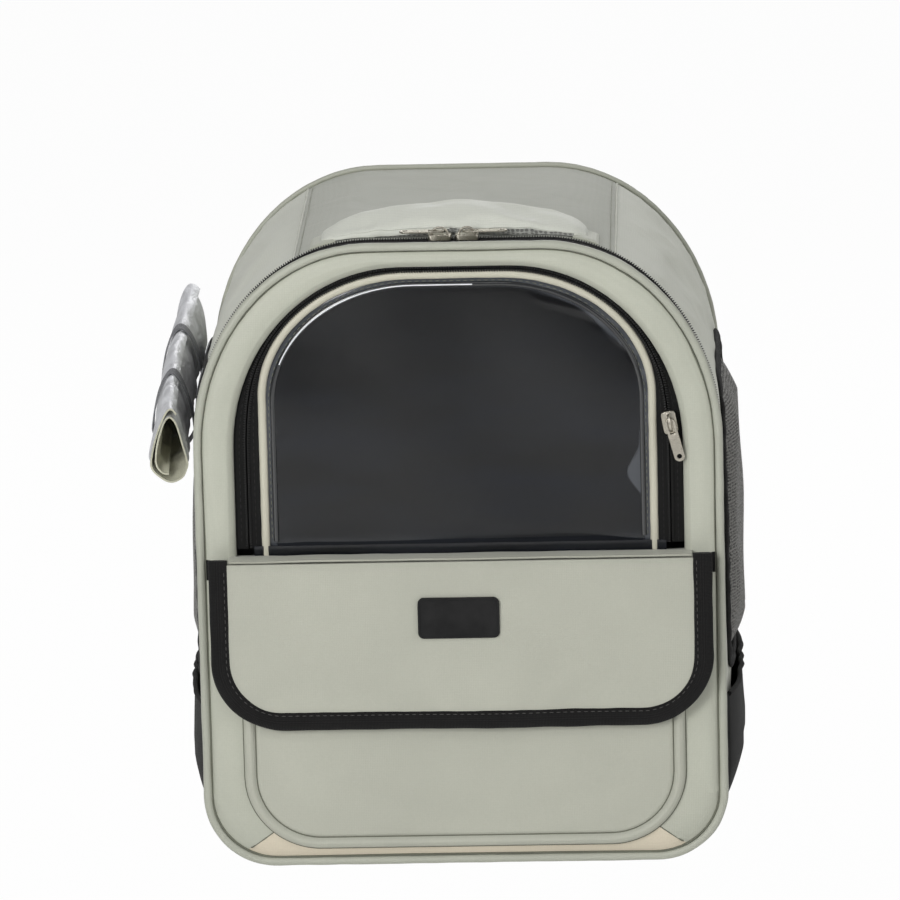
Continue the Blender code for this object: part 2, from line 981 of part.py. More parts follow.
def slider_at(place):
    """A zip slider about its own origin: it runs along Z and its face looks along -Y."""
    body = box(
        -slider_width / 2, slider_width / 2, 0, slider_depth, -slider_length / 2, slider_length / 2
    )
    edges = [edge for edge in body.edges if abs(edge.verts[0].co.y - edge.verts[1].co.y) > 0]
    bmesh.ops.bevel(
        body, geom=edges, offset=slider_width / 4, segments=2, profile=0.5, affect="EDGES"
    )
    body.transform(place)
    return body


def bridge_at(place):
    """The arched bridge on a slider, which the pull hangs from."""
    outer = bridge_curve(bridge_length / 2, bridge_height + bridge_thickness)
    inner = bridge_curve(bridge_length / 2 - bridge_thickness, bridge_height)
    bm = band(outer, inner, -bridge_width / 2, bridge_width / 2)
    swap = Matrix(((0, 1, 0, 0), (0, 0, -1, 0), (1, 0, 0, 0), (0, 0, 0, 1)))
    bm.transform(place @ swap)
    return bm


def bridge_curve(half_length, height):
    """Half an ellipse that starts a little inside the slider's face."""
    sunk = slider_depth / 2
    arch = arc(0, 0, half_length, height, 180, 0, 2 * small_steps)
    return [(-half_length, -sunk)] + arch + [(half_length, -sunk)]


def make_slider(name, place, metal, body):
    slider = make_object(name, slider_at(place), metal, body)
    add_boolean(slider, bridge_at(place), "UNION")


def make_pull(name, place, metal, body):
    """A pull tab whose top bar lies on its own origin and which hangs down along -Z."""
    radius = pull_width / 2
    top = pull_eye_bar / 2
    low = top - pull_length
    outline = arc(0, low + radius, radius, radius, 180, 360, 2 * small_steps) + arc(
        0, top - radius, radius, radius * pull_head_share, 0, 180, 2 * small_steps
    )
    outline = [(x, min(z, top)) for x, z in outline]
    tab = prism(outline, -pull_thickness / 2, pull_thickness / 2)
    tab.transform(place)
    pull = make_object(name, tab, metal, body)
    slot_top = -pull_eye_bar / 2
    slot = box(
        -pull_slot_width / 2, pull_slot_width / 2, -pull_thickness, pull_thickness,
        slot_top - pull_slot_length, slot_top,
    )
    slot.transform(place)
    add_boolean(pull, slot, "DIFFERENCE")
    ring = arc(0, low + radius, pull_hole_radius, pull_hole_radius, 0, 360, 3 * small_steps)[:-1]
    hole = prism(ring, -pull_thickness, pull_thickness)
    hole.transform(place)
    add_boolean(pull, hole, "DIFFERENCE")


def make_handle(cloth_colour, lining, handle, body):
    """Padded grip with its air mesh lining, the cloth ends that let it rise, and their tabs."""
    low = roof + handle_gap
    steps = 10
    centre = []
    for step in range(steps + 1):
        share = 2 * step / steps - 1
        lift = handle_rise * (1 - share * share)
        centre.append((handle_half_grip * share, low + handle_thickness / 2 + lift))
    normals = [(-nx, -nz) for nx, nz in outline_normals(centre)]
    normals[0] = (0, 1)
    normals[-1] = (0, 1)
    section = rounded_box_outline(
        -handle_width / 2, handle_width / 2, -handle_thickness / 2, handle_thickness / 2,
        handle_thickness / 2 * handle_round_share, 1,
    )
    under = -handle_thickness / 2 - seat_gap
    lining_section = [
        (-handle_lining_width / 2, under),
        (handle_lining_width / 2, under),
        (handle_lining_width / 2, under - handle_lining_thickness),
        (-handle_lining_width / 2, under - handle_lining_thickness),
    ]
    make_object("carry_handle", swept(centre, normals, section), cloth_colour, handle)
    inner = swept(centre[1:-1], normals[1:-1], lining_section)
    make_object("handle_lining", inner, lining, handle)
    for side, sign in (("left", -1), ("right", 1)):
        make_handle_end(side, sign, low, cloth_colour, body)


def make_handle_end(side, sign, low, cloth_colour, body):
    """Cloth end of the grip, which slopes down to the tab that it is sewn to."""
    grip_end = handle_half_grip + seat_gap
    inside = handle_half_span - handle_tab_length / 2
    top_inside = low + handle_thickness * (1 - handle_round_share) / 2
    slope = []
    for step in range(small_steps + 1):
        share = step / small_steps
        x = grip_end + (handle_half_span - grip_end) * share
        ease = (1 + math.cos(math.pi * share)) / 2
        foot = roof_height(x) + 3 * seat_gap + handle_tab_thickness
        slope.append((sign * x, foot + (top_inside - foot) * ease))
    section = [
        (-handle_end_width / 2, 0), (handle_end_width / 2, 0),
        (handle_end_width / 2, handle_tab_thickness), (-handle_end_width / 2, handle_tab_thickness),
    ]
    upward = [(0, 1)] * len(slope)
    make_object(f"handle_end_{side}", swept(slope, upward, section), cloth_colour, body)
    ends = [
        sign * (inside + handle_tab_length * step / small_steps)
        for step in range(small_steps + 1)
    ]
    bm = bmesh.new()
    rows = []
    for lift, y in (
        (seat_gap, -handle_width / 2), (seat_gap + handle_tab_thickness, -handle_width / 2),
        (seat_gap + handle_tab_thickness, handle_width / 2), (seat_gap, handle_width / 2),
    ):
        depth = panel_front + handle_line + y
        rows.append([bm.verts.new((x, depth, roof_height(x) + lift)) for x in ends])
    skin_rows(bm, rows, closed=False)
    make_object(f"handle_tab_{side}", bm, cloth_colour, body, smooth=False)


def swept(centre, normals, section):
    """A closed section of (y, outward) points carried along a line in X-Z."""
    depth = panel_front + handle_line
    bm = bmesh.new()
    rings = []
    for (x, z), (nx, nz) in zip(centre, normals):
        rings.append([bm.verts.new((x + nx * out, depth + y, z + nz * out)) for y, out in section])
    count = len(section)
    for first, second in zip(rings, rings[1:]):
        for index in range(count):
            after = (index + 1) % count
            bm.faces.new((first[index], first[after], second[after], second[index]))
    bm.faces.new(rings[0])
    bm.faces.new(rings[-1])
    return bm


def roll_middle(y):
    """Centre of the rolled cover at a depth: it hangs a little lower at the front."""
    share = (y - roll_front) / (roll_back - roll_front)
    z = roll_front_height + (roll_back_height - roll_front_height) * share
    return -(side_x(y, z) + roll_clearance + roll_half_width), z


def make_cover_roll(cloth_colour, tie_colour, cover):
    """Rolled cover of the left window as one wound sheet, and the two loops that tie it."""
    rows = 6
    steps = 34
    pitch = roll_cloth + roll_layer_gap
    flatness = roll_half_height / roll_half_width
    lines = []
    for row in range(rows + 1):
        y = roll_front + (roll_back - roll_front) * row / rows
        middle_x, middle_z = roll_middle(y)
        outer = []
        inner = []
        for step in range(steps + 1):
            turn = roll_turns * step / steps
            angle = math.pi / 2 + 2 * math.pi * turn
            for line, sunk in ((outer, pitch * turn), (inner, pitch * turn + roll_cloth)):
                across = roll_half_width - sunk
                up = roll_half_height - sunk * math.sqrt(flatness)
                line.append(
                    (middle_x + across * math.cos(angle), y, middle_z + up * math.sin(angle))
                )
        lines.append((outer, inner))
    bm = sheet_between([line[0] for line in lines], [line[1] for line in lines])
    make_object("cover_roll", bm, cloth_colour, cover)
    for index, share in enumerate(tie_place_shares):
        y = roll_front + (roll_back - roll_front) * share
        bm = bmesh.new()
        rows = []
        for lift, depth in (
            (seat_gap + tie_thickness, y - tie_width / 2),
            (seat_gap + tie_thickness, y + tie_width / 2),
            (seat_gap, y + tie_width / 2),
            (seat_gap, y - tie_width / 2),
        ):
            middle_x, middle_z = roll_middle(depth)
            ring = arc(
                middle_x, middle_z, roll_half_width + lift, roll_half_height + lift,
                0, 360, 6 * small_steps,
            )[:-1]
            rows.append([bm.verts.new((x, depth, z)) for x, z in ring])
        skin_rows(bm, rows, closed=True)
        name = ("cover_tie_front", "cover_tie_back")[index]
        tie = make_object(name, bm, tie_colour, cover)
        add_boolean(tie, make_tie_tail(y), "UNION")


def make_tie_tail(y):
    """The end of a tie, which runs up from the roll to the window's binding."""
    low = roll_middle(y)[1]
    high = min(side_window_top + side_binding_width, low + roll_half_height)
    lift = tape_thickness + 3 * seat_gap
    heights = [low + (high - low) * step / small_steps for step in range(small_steps + 1)]
    edges = (y - tie_width / 2, y + tie_width / 2)
    faces = []
    for depth in (lift + tie_thickness, lift):
        faces.append([[(-side_x(edge, z) - depth, edge, z) for z in heights] for edge in edges])
    return sheet_between(*faces)


def screw_places():
    """The four screws of the mounting plate, seen from behind."""
    return [
        (across * screw_offset_x, plate_centre_height + up * screw_offset_z)
        for across in (-1, 1)
        for up in (-1, 1)
    ]


def screw_holes(radius):
    """Four bars along Y that clear the plate, the rear wall and its board."""
    lay = Matrix.Rotation(math.radians(90.0), 4, "X")
    length = 2 * (rear_thickness + board_thickness + plate_thickness)
    return joined(
        *[
            cylinder(radius, length, 3 * small_steps, Matrix.Translation((x, rear_back, z)) @ lay)
            for x, z in screw_places()
        ]
    )


def make_mounting(plastic, metal, body, button):
    """Hard plate on the rear with two hooks, its release button and its screws."""
    plate_front = rear_back + seat_gap
    plate_back = plate_front + plate_thickness
    top = plate_centre_height + plate_height / 2
    outline = [
        (x, z + plate_centre_height)
        for x, z in rounded_box_outline(
            -plate_width / 2, plate_width / 2, -plate_height / 2, plate_height / 2, plate_radius, 1
        )
    ]
    plate = make_object("mount_plate", prism(outline, plate_front, plate_back), plastic, body)
    sunk = plate_back - plate_thickness / 2
    for sign in (-1, 1):
        low_x = sign * hook_offset - hook_width / 2
        high_x = sign * hook_offset + hook_width / 2
        reach = plate_back + hook_reach
        shelf_top = top - plate_radius
        arm = box(low_x, high_x, sunk, reach, shelf_top - hook_thickness, shelf_top)
        add_boolean(plate, arm, "UNION")
        tip = box(
            low_x, high_x, reach - hook_thickness, reach - seat_gap,
            shelf_top - hook_drop, shelf_top - seat_gap,
        )
        add_boolean(plate, tip, "UNION")
    wide = button_width / 2 + button_rim
    deep = plate_back + button_depth + 2 * button_rim
    housing_low = top - plate_radius - button_height - 2 * button_rim
    housing_top = top - plate_radius
    add_boolean(plate, box(-wide, wide, sunk, deep, housing_low, housing_top), "UNION")
    well = box(
        -button_width / 2, button_width / 2, plate_back + button_rim,
        plate_back + button_rim + button_depth, housing_low + button_rim, housing_top + cut_overrun,
    )
    add_boolean(plate, well, "DIFFERENCE")
    add_boolean(plate, screw_holes(screw_radius / 2 + seat_gap), "DIFFERENCE")
    for name in ("rear_panel", "rear_board"):
        add_boolean(
            bpy.data.objects[name], screw_holes(screw_radius / 2 + seat_gap), "DIFFERENCE"
        )
    low = housing_low + button_rim + button_travel + seat_gap
    cap = box(
        seat_gap - button_width / 2, button_width / 2 - seat_gap,
        plate_back + button_rim + seat_gap, plate_back + button_rim + button_depth - seat_gap,
        low, low + button_height,
    )
    make_object("release_button", cap, plastic, button, smooth=False)
    make_screws(metal, plate_back, body)


def make_rear_pad(rubber, body):
    """Flat rubber pad that keeps the bag off the bicycle's frame."""
    outline = [
        (x, z + pad_centre_height)
        for x, z in rounded_box_outline(
            -pad_width / 2, pad_width / 2, -pad_height / 2, pad_height / 2, pad_radius, 1
        )
    ]
    pad_front = rear_back + seat_gap
    make_object("rear_pad", prism(outline, pad_front, pad_front + pad_thickness), rubber, body)


def make_screws(metal, plate_back, body):
    """Screws through the plate, the rear wall and the board, each with its nut inside."""
    lay = Matrix.Rotation(math.radians(90.0), 4, "X")
    steps = 3 * small_steps
    nut_front = rear_front - board_thickness - 2 * seat_gap - screw_head
    head_back = plate_back + seat_gap + screw_head
    names = ("plate_screw_a", "plate_screw_b", "plate_screw_c", "plate_screw_d")
    for name, (x, z) in zip(names, screw_places()):
        length = head_back - nut_front - 2 * seat_gap
        middle = (head_back + nut_front) / 2
        shank = cylinder(screw_radius / 2, length, steps, Matrix.Translation((x, middle, z)) @ lay)
        screw = make_object(name, shank, metal, body)
        for face in (nut_front + screw_head / 2, head_back - screw_head / 2):
            disc = cylinder(
                screw_radius, screw_head, steps, Matrix.Translation((x, face, z)) @ lay
            )
            add_boolean(screw, disc, "UNION")


def make_tether(webbing, metal, body, strap, swivel, trigger):
    """Safety tether on the rear wall: sewn stub, strap, swivel, snap hook and its bolt."""
    wall_front = rear_front - board_thickness - 2 * seat_gap
    back = wall_front - seat_gap
    half = tether_width / 2
    stub_low = tether_top - tether_stub_height
    make_object(
        "tether_stub",
        box(tether_x - half, tether_x + half, back - tether_stub_depth, back, stub_low, tether_top),
        webbing,
        body,
        smooth=False,
    )
    strap_y = back - tether_stub_depth + tether_thickness
    strap_top = stub_low - seat_gap
    strap_low = strap_top - tether_length
    make_object(
        "tether_strap",
        box(
            tether_x - half, tether_x + half, strap_y - tether_thickness, strap_y,
            strap_low, strap_top,
        ),
        webbing,
        strap,
        smooth=False,
    )
    line_y = strap_y - tether_thickness / 2
    cross_top = strap_low - seat_gap
    cross = box(
        tether_x - half, tether_x + half, line_y - swivel_radius, line_y + swivel_radius,
        cross_top - swivel_radius, cross_top,
    )
    eye = make_object("tether_swivel", cross, metal, strap)
    neck_top = cross_top - swivel_radius / 2
    neck_low = cross_top - swivel_height
    neck = cylinder(
        swivel_radius * neck_share, neck_top - neck_low, 2 * small_steps,
        Matrix.Translation((tether_x, line_y, (neck_top + neck_low) / 2)),
    )
    add_boolean(eye, neck, "UNION")
    make_snap_hook(metal, line_y, cross_top - swivel_height - seat_gap, swivel, trigger)


def make_snap_hook(metal, y, top, swivel, trigger):
    """Bolt snap: a barrel with an open ring below it, and the sprung bolt that closes the ring."""
    barrel_low = top - hook_barrel_length
    steps = 2 * small_steps
    barrel = cylinder(
        hook_barrel_radius, hook_barrel_length, steps,
        Matrix.Translation((tether_x, y, (top + barrel_low) / 2)),
    )
    hook = make_object("snap_hook", barrel, metal, swivel)
    mouth = 30.0
    ring_x = tether_x + hook_eye_radius
    ring_z = barrel_low - hook_eye_radius * math.sin(math.radians(mouth)) + hook_wire_radius
    outer = arc(
        ring_x, ring_z, hook_eye_radius + hook_wire_radius, hook_eye_radius + hook_wire_radius,
        mouth - 180, 180 - mouth, 4 * small_steps,
    )
    inner = arc(
        ring_x, ring_z, hook_eye_radius - hook_wire_radius, hook_eye_radius - hook_wire_radius,
        mouth - 180, 180 - mouth, 4 * small_steps,
    )
    add_boolean(hook, band(outer, inner, y - hook_wire_radius, y + hook_wire_radius), "UNION")
    bore_top = top - 2 * hook_wire_radius
    bore_low = barrel_low - cut_overrun
    bore = cylinder(
        trigger_radius + 2 * seat_gap, bore_top - bore_low, steps,
        Matrix.Translation((tether_x, y, (bore_top + bore_low) / 2)),
    )
    add_boolean(hook, bore, "DIFFERENCE")
    knob_low = barrel_low + hook_barrel_length / 3
    knob_top = knob_low + trigger_knob
    slot = box(
        tether_x - trigger_radius - seat_gap, tether_x + trigger_radius + seat_gap,
        y - 2 * hook_barrel_radius, y,
        knob_low - seat_gap, knob_top + trigger_travel + seat_gap,
    )
    add_boolean(hook, slot, "DIFFERENCE")
    tip = ring_z - hook_eye_radius * math.sin(math.radians(mouth)) + 2 * hook_wire_radius
    bolt_top = knob_top
    bolt = cylinder(
        trigger_radius, bolt_top - tip, steps,
        Matrix.Translation((tether_x, y, (bolt_top + tip) / 2)),
    )
    bolt_object = make_object("snap_hook_bolt", bolt, metal, trigger)
    knob = box(
        tether_x - trigger_radius * knob_width_share, tether_x + trigger_radius * knob_width_share,
        y - hook_barrel_radius - trigger_radius * knob_reach_share, y,
        knob_low, knob_top - seat_gap,
    )
    add_boolean(bolt_object, knob, "UNION")


def make_window_slider(metal, slider_body, pull_body):
    """Slider of the window's zip on the right side, with its leaning pull."""
    lean = Matrix.Rotation(-window_slider_lean, 4, "Y")
    place = Matrix.Translation(pivot_of(slider_body)) @ lean
    make_slider("window_slider", place, metal, slider_body)
    lean = Matrix.Rotation(-window_pull_lean, 4, "Y")
    make_pull("window_pull", Matrix.Translation(pivot_of(pull_body)) @ lean, metal, pull_body)


def make_top_slider(names, sign, metal, slider_body, pull_body):
    """One of the two sliders that meet at the top of the door's zip, its pull laid outward."""
    place = Matrix.Translation(pivot_of(slider_body)) @ along_top(sign)
    make_slider(names[0], place, metal, slider_body)
    make_pull(names[1], Matrix.Translation(pivot_of(pull_body)) @ along_top(sign), metal, pull_body)


def along_top(sign):
    """Turn a slider so that its face looks up and its pull points away from the middle."""
    return Matrix(((0, 0, -sign, 0), (sign, 0, 0, 0), (0, -1, 0, 0), (0, 0, 0, 1)))


def main():
    clear_scene()
    cloth_colour = make_material("coated_cloth", (0.43, 0.44, 0.37), 0.75)
    piping_colour = make_material("piping_cloth", (0.50, 0.51, 0.43), 0.6)
    handle_colour = make_material("handle_cloth", (0.61, 0.61, 0.54), 0.6)
    black = make_material("black_tape", (0.012, 0.012, 0.012), 0.8)
    clear = make_material("clear_sheet", (0.10, 0.11, 0.12), 0.08, alpha=0.35)
    mesh_colour = make_material("grey_mesh", (0.20, 0.19, 0.18), 0.9)
    lining = make_material("grey_air_mesh", (0.29, 0.30, 0.27), 0.9)
    silver = make_material("silver_lining", (0.38, 0.38, 0.40), 0.3)
    board_colour = make_material("stiff_board", (0.02, 0.02, 0.022), 0.6)
    plastic = make_material("black_plastic", (0.015, 0.015, 0.016), 0.45)
    metal = make_material("satin_nickel", (0.55, 0.52, 0.46), 0.3, metallic=1.0)
    webbing = make_material("black_webbing", (0.015, 0.015, 0.015), 0.85)
    cushion_colour = make_material("cushion_cloth", (0.08, 0.08, 0.085), 0.95)

    carrier = make_body("carrier", (0, 0, 0))
    hinge_height = tape_inset + zip_flange / 2
    door = make_body("front_door", (0, door_back, hinge_height), carrier)
    window_hinge = window_sill + hinge_tape_height / 2
    window = make_body("window_door", (0, window_front, window_hinge), door)
    flap = make_body("pocket_flap", (0, flap_back, window_sill), door)
    slider_face = window_front - seat_gap - slider_depth
    slider_edge = window_edge(window_slider_height + slider_length / 2)
    slider_x = slider_edge - window_slider_clearance - slider_width / 2
    window_slider = make_body("window_zip", (slider_x, slider_face, window_slider_height), window)
    pull_depth = slider_face - bridge_height / 2
    window_pull = make_body(
        "window_zip_pull",
        (
            slider_x - math.sin(window_slider_lean) * pull_offset,
            pull_depth,
            window_slider_height + math.cos(window_slider_lean) * pull_offset,
        ),
        window_slider,
    )
    handle = make_body("handle", (0, panel_front + handle_line, roof + handle_gap), carrier)
    roll_top_x, roll_top_z = roll_middle(roll_front)
    cover = make_body(
        "cover", (roll_top_x + roll_half_width, roll_front, roll_top_z + roll_half_height), carrier
    )
    slider_line = (door_tape_back + body_tape_front) / 2
    slider_top = roof + seat_gap + slider_depth
    top_bodies = []
    for side, sign in (("left", -1), ("right", 1)):
        rider = make_body(
            f"door_zip_{side}", (sign * top_slider_offset, slider_line, slider_top), carrier
        )
        pull = make_body(
            f"door_zip_pull_{side}",
            (
                sign * (top_slider_offset - pull_offset),
                slider_line,
                slider_top + bridge_height / 2,
            ),
            rider,
        )
        top_bodies.append((side, sign, rider, pull))
    button = make_body("button", (0, rear_back, plate_centre_height), carrier)
    wall_front = rear_front - board_thickness - 3 * seat_gap
    strap_y = wall_front - tether_stub_depth + tether_thickness
    stub_low = tether_top - tether_stub_height
    strap_front = strap_y - tether_thickness
    strap = make_body("tether", (tether_x, strap_front, stub_low), carrier)
    line_y = strap_y - tether_thickness / 2
    swivel_top = stub_low - 2 * seat_gap - tether_length - swivel_height
    swivel = make_body("tether_swivel_axis", (tether_x, line_y, swivel_top), strap)
    trigger = make_body("tether_bolt", (tether_x, line_y, swivel_top), swivel)

    make_base(cloth_colour, black, carrier)
    make_floor(board_colour, cushion_colour, carrier)
    make_rear(cloth_colour, board_colour, piping_colour, carrier)
    side_colours = (cloth_colour, mesh_colour, black)
    left_names = ("left_side_panel", "left_mesh", "left_window_binding", "left_side_pocket")
    right_names = ("right_side_panel", "right_mesh", "right_window_binding", "right_side_pocket")
    make_side(-1, left_names, side_colours, carrier)
    make_side(1, right_names, side_colours, carrier)
    make_top(cloth_colour, carrier)
    make_zip_tapes(black, carrier, door)
    make_door(cloth_colour, piping_colour, black, door)
    make_window(piping_colour, clear, black, window, door)
    make_pocket(cloth_colour, black, door)
    make_flap(cloth_colour, black, flap, door)
    make_window_slider(metal, window_slider, window_pull)
    for side, sign, rider, pull in top_bodies:
        make_top_slider((f"door_slider_{side}", f"door_pull_{side}"), sign, metal, rider, pull)
    make_handle(handle_colour, lining, handle, carrier)
    make_cover_roll(silver, black, cover)
    make_mounting(plastic, metal, carrier, button)
    make_rear_pad(black, carrier)
    make_tether(webbing, metal, carrier, strap, swivel, trigger)


main()
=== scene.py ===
"""Dog basket for a bicycle's handlebar: the looks of each piece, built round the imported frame.

The script is laid out as an add-on and is run as a script. Lengths are in metres.
"""

import math

import bmesh
import bpy
from bpy.props import FloatProperty, FloatVectorProperty, PointerProperty
from mathutils import Matrix, Vector, noise


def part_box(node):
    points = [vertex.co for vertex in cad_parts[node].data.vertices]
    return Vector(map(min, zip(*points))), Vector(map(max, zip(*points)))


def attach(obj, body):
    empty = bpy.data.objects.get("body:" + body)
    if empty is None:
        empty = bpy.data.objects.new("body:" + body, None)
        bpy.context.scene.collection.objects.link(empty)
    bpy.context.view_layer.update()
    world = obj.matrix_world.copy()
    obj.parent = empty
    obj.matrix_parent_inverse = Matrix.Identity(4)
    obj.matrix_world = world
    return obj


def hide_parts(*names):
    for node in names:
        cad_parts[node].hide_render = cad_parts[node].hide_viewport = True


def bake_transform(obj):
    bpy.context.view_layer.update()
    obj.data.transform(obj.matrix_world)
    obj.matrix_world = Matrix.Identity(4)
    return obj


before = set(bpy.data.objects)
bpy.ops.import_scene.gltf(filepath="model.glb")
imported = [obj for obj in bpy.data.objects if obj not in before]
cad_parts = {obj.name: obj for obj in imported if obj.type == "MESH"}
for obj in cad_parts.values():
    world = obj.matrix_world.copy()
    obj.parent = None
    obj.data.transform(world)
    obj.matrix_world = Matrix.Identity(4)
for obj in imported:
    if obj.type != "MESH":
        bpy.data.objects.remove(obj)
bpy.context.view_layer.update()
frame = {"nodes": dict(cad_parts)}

bl_info = {
    "name": "Handlebar dog basket",
    "version": (1, 0, 0),
    "blender": (4, 5, 0),
    "location": "View3D > Sidebar > Basket",
    "description": "Builds the soft pieces, finishes and stage of a handlebar dog basket",
    "category": "Object",
}


def linear(code):
    """A colour's sRGB hex code as linear red, green and blue."""
    shares = [int(code[index : index + 2], 16) / 255 for index in (1, 3, 5)]
    return tuple(s / 12.92 if s <= 0.04045 else ((s + 0.055) / 1.055) ** 2.4 for s in shares)


def length_property(name, default, description):
    return FloatProperty(name=name, default=default, description=description, unit="LENGTH")


def colour_property(name, code, description):
    return FloatVectorProperty(
        name=name, default=linear(code), description=description, subtype="COLOR", min=0, max=1
    )


# Main lines of the pieces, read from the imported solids
DOOR_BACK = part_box("door_panel")[1][1]
RING_LOW, RING_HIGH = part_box("door_piping")
REAR_LOW, REAR_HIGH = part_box("rear_panel")
SIDE_LOW, SIDE_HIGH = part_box("right_side_panel")
SIDE_LINE, _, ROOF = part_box("body_zip_tape")[1]
POCKET_LOW, POCKET_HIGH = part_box("pocket_front")
FLAP_LOW, FLAP_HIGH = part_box("flap_binding")
BIND_LOW, BIND_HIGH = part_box("right_window_binding")
HALF_WIDTH, _, BODY_HEIGHT = RING_HIGH
RING_LINE = (RING_LOW[1] + RING_HIGH[1]) / 2
SHELL_FRONT, SHELL_BACK = SIDE_LOW[1], SIDE_HIGH[1]
POCKET_SIDE = POCKET_HIGH[0]
FLAP_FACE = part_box("flap_panel")[0][1]

# Crowns as width and height, and round corners
WINDOW_CROWN = (0.106, 0.115)
TRIM_CROWN = (0.096, 0.080)
FLAP_FOOT = 0.045
POCKET_FOOT = 0.048
POCKET_SEAM = 0.0081
NET_RADIUS = 0.030

# The nets end inside their bindings.
NET_INSET = 0.007
NET_FRONT, NET_BACK = BIND_LOW[1] + NET_INSET, BIND_HIGH[1] - NET_INSET
NET_LOW, NET_TOP = BIND_LOW[2] + NET_INSET, BIND_HIGH[2] - NET_INSET

SHELL_CLOTH = 0.0034
WELD = 1e-6
CORNER_STEPS = 18
SHARP_ANGLE = math.radians(48)
CABIN = Vector((0.0, 0.0, 0.2))
Y_AXIS = Vector((0, 1, 0))
Z_AXIS = Vector((0, 0, 1))
WHITE = (1.0, 1.0, 1.0, 1.0)
SIDES = (("left", -1), ("right", 1))


class BasketSizes(bpy.types.PropertyGroup):
    crown_width: length_property("Crown width", 0.110, "How far the crown's corners reach inward")
    crown_height: length_property("Crown height", 0.130, "How far the crown's corners reach down")
    foot_radius: length_property("Foot radius", 0.045, "Radius of the two lower corners")
    top_seam: length_property("Top seam", 0.100, "Distance of the two top seams from the middle")
    side_bulge: length_property("Side bulge", 0.006, "How far the side walls stand out")
    ring_puff: length_property("Ring fullness", 0.0042, "How far the front's padding stands out")
    window_half: length_property("Window half width", 0.140, "Half width of the front's opening")
    window_sill: length_property("Window sill", 0.200, "Height of the opening's lower edge")
    window_top: length_property("Window top", 0.384, "Height of the opening's upper edge")
    stitch_length: length_property("Stitch length", 0.0030, "Length of one sewn stitch")
    stitch_gap: length_property("Stitch gap", 0.0013, "Gap between two stitches")
    coil_pitch: length_property("Coil pitch", 0.0016, "Distance between two teeth of a zip coil")
    thread_spacing: length_property("Thread spacing", 0.0011, "Spacing of the cloth's threads")
    camera_distance: length_property("Camera distance", 4.75, "Distance from lens to front face")


class BasketColours(bpy.types.PropertyGroup):
    cloth: colour_property("Cloth", "#b6b8aa", "Coated cloth of the front and the walls")
    flap_cloth: colour_property("Flap cloth", "#b0b1a4", "Coated cloth of the flap and pocket")
    # The strip is its own mitred panel; its warmer colour is painted bounce light from below.
    strip_cloth_with_painted_bounce: colour_property("Strip cloth", "#d6ccb7", "Warmer strip along the front's foot")
    piping: colour_property("Piping", "#abada0", "Cloth over the piping cord")
    trim: colour_property("Window trim", "#c2bfae", "Cloth over the cord round the window")
    wall: colour_property("Walls", "#cdcfc3", "Glossier coated cloth of the side walls")
    top: colour_property("Top", "#a9aba0", "Coated cloth of the top")
    band: colour_property("Band", "#8b8c90", "Elastic bands round the rolled cover")
    handle: colour_property("Handle", "#d0d2c8", "Padded cloth of the handle")
    lining: colour_property("Lining", "#2b2c2e", "Dark lining inside the cabin")
    tape: colour_property("Black tape", "#100f0f", "Woven tape of bindings and webbing")
    zip_tape: colour_property("Zip tape", "#131313", "Zip tape and coil")
    # Near-black pane: painted shade of the dark cabin seen through the clear sheet.
    pane_with_cabin_shade: colour_property("Pane", "#040508", "Clear window sheet, seen over the dark cabin")
    mesh: colour_property("Side mesh", "#74736f", "Knitted mesh of the side windows")
    handle_mesh: colour_property("Handle mesh", "#8f908b", "Air mesh under the handle")
    silver: colour_property("Silver", "#f0f1f5", "Reflective face of the rolled cover")
    cream: colour_property("Cream", "#bdbca8", "Inner face of the rolled cover")
    pocket_black: colour_property("Pocket black", "#191919", "Low pockets on the side walls")
    metal: colour_property("Metal", "#bdb8ac", "Nickel plating of sliders, pulls and hook")
    plastic: colour_property("Plastic", "#1c1c1d", "Moulded mounting plate and button")
    rubber: colour_property("Rubber", "#060607", "Moulded patch and rear pad")
    cushion: colour_property("Cushion", "#4c4d50", "Brushed cloth of the floor cushion")


def fill(tree, node, inputs):
    """Give a node's inputs their values or links."""
    for key, value in inputs.items():
        if isinstance(value, bpy.types.NodeSocket):
            tree.links.new(value, node.inputs[key])
        else:
            node.inputs[key].default_value = value


def add_node(tree, kind, inputs=None, **settings):
    """Add one node with its settings, and fill its inputs with values or links."""
    made = tree.nodes.new(kind)
    for key, value in settings.items():
        setattr(made, key, value)
    fill(tree, made, inputs or {})
    return made


def new_material(name):
    """A material that holds only a shader and its output."""
    material = bpy.data.materials.new(name)
    material.use_nodes = True
    tree = material.node_tree
    tree.nodes.clear()
    output = tree.nodes.new("ShaderNodeOutputMaterial")
    shader = tree.nodes.new("ShaderNodeBsdfPrincipled")
    tree.links.new(shader.outputs[0], output.inputs["Surface"])
    return material, tree, shader


def full_colour(colour, share=1.0):
    """A colour made lighter or darker by a share, with its alpha."""
    return (*[min(part * share, 1.0) for part in colour], 1.0)


def object_place(tree):
    return add_node(tree, "ShaderNodeTexCoord").outputs["Object"]


def own_map(tree):
    return add_node(tree, "ShaderNodeUVMap", uv_map="UVMap").outputs["UV"]


def edge_shade_and_glint_mask(tree):
    """The piece's own attribute that is 1 at seams and edges: painted shade on cloth, painted
    reflection on the clear sheet's hem.
    """
    return add_node(tree, "ShaderNodeAttribute", attribute_name="edge_shade_and_glint").outputs["Fac"]


def noise_value(tree, place, scale, detail, roughness=0.5, distortion=0.0):
    return add_node(
        tree, "ShaderNodeTexNoise",
        {"Vector": place, "Scale": scale, "Detail": detail, "Roughness": roughness,
         "Distortion": distortion},
    ).outputs["Fac"]


def maths(tree, operation, one, two):
    return add_node(tree, "ShaderNodeMath", {0: one, 1: two}, operation=operation).outputs[0]


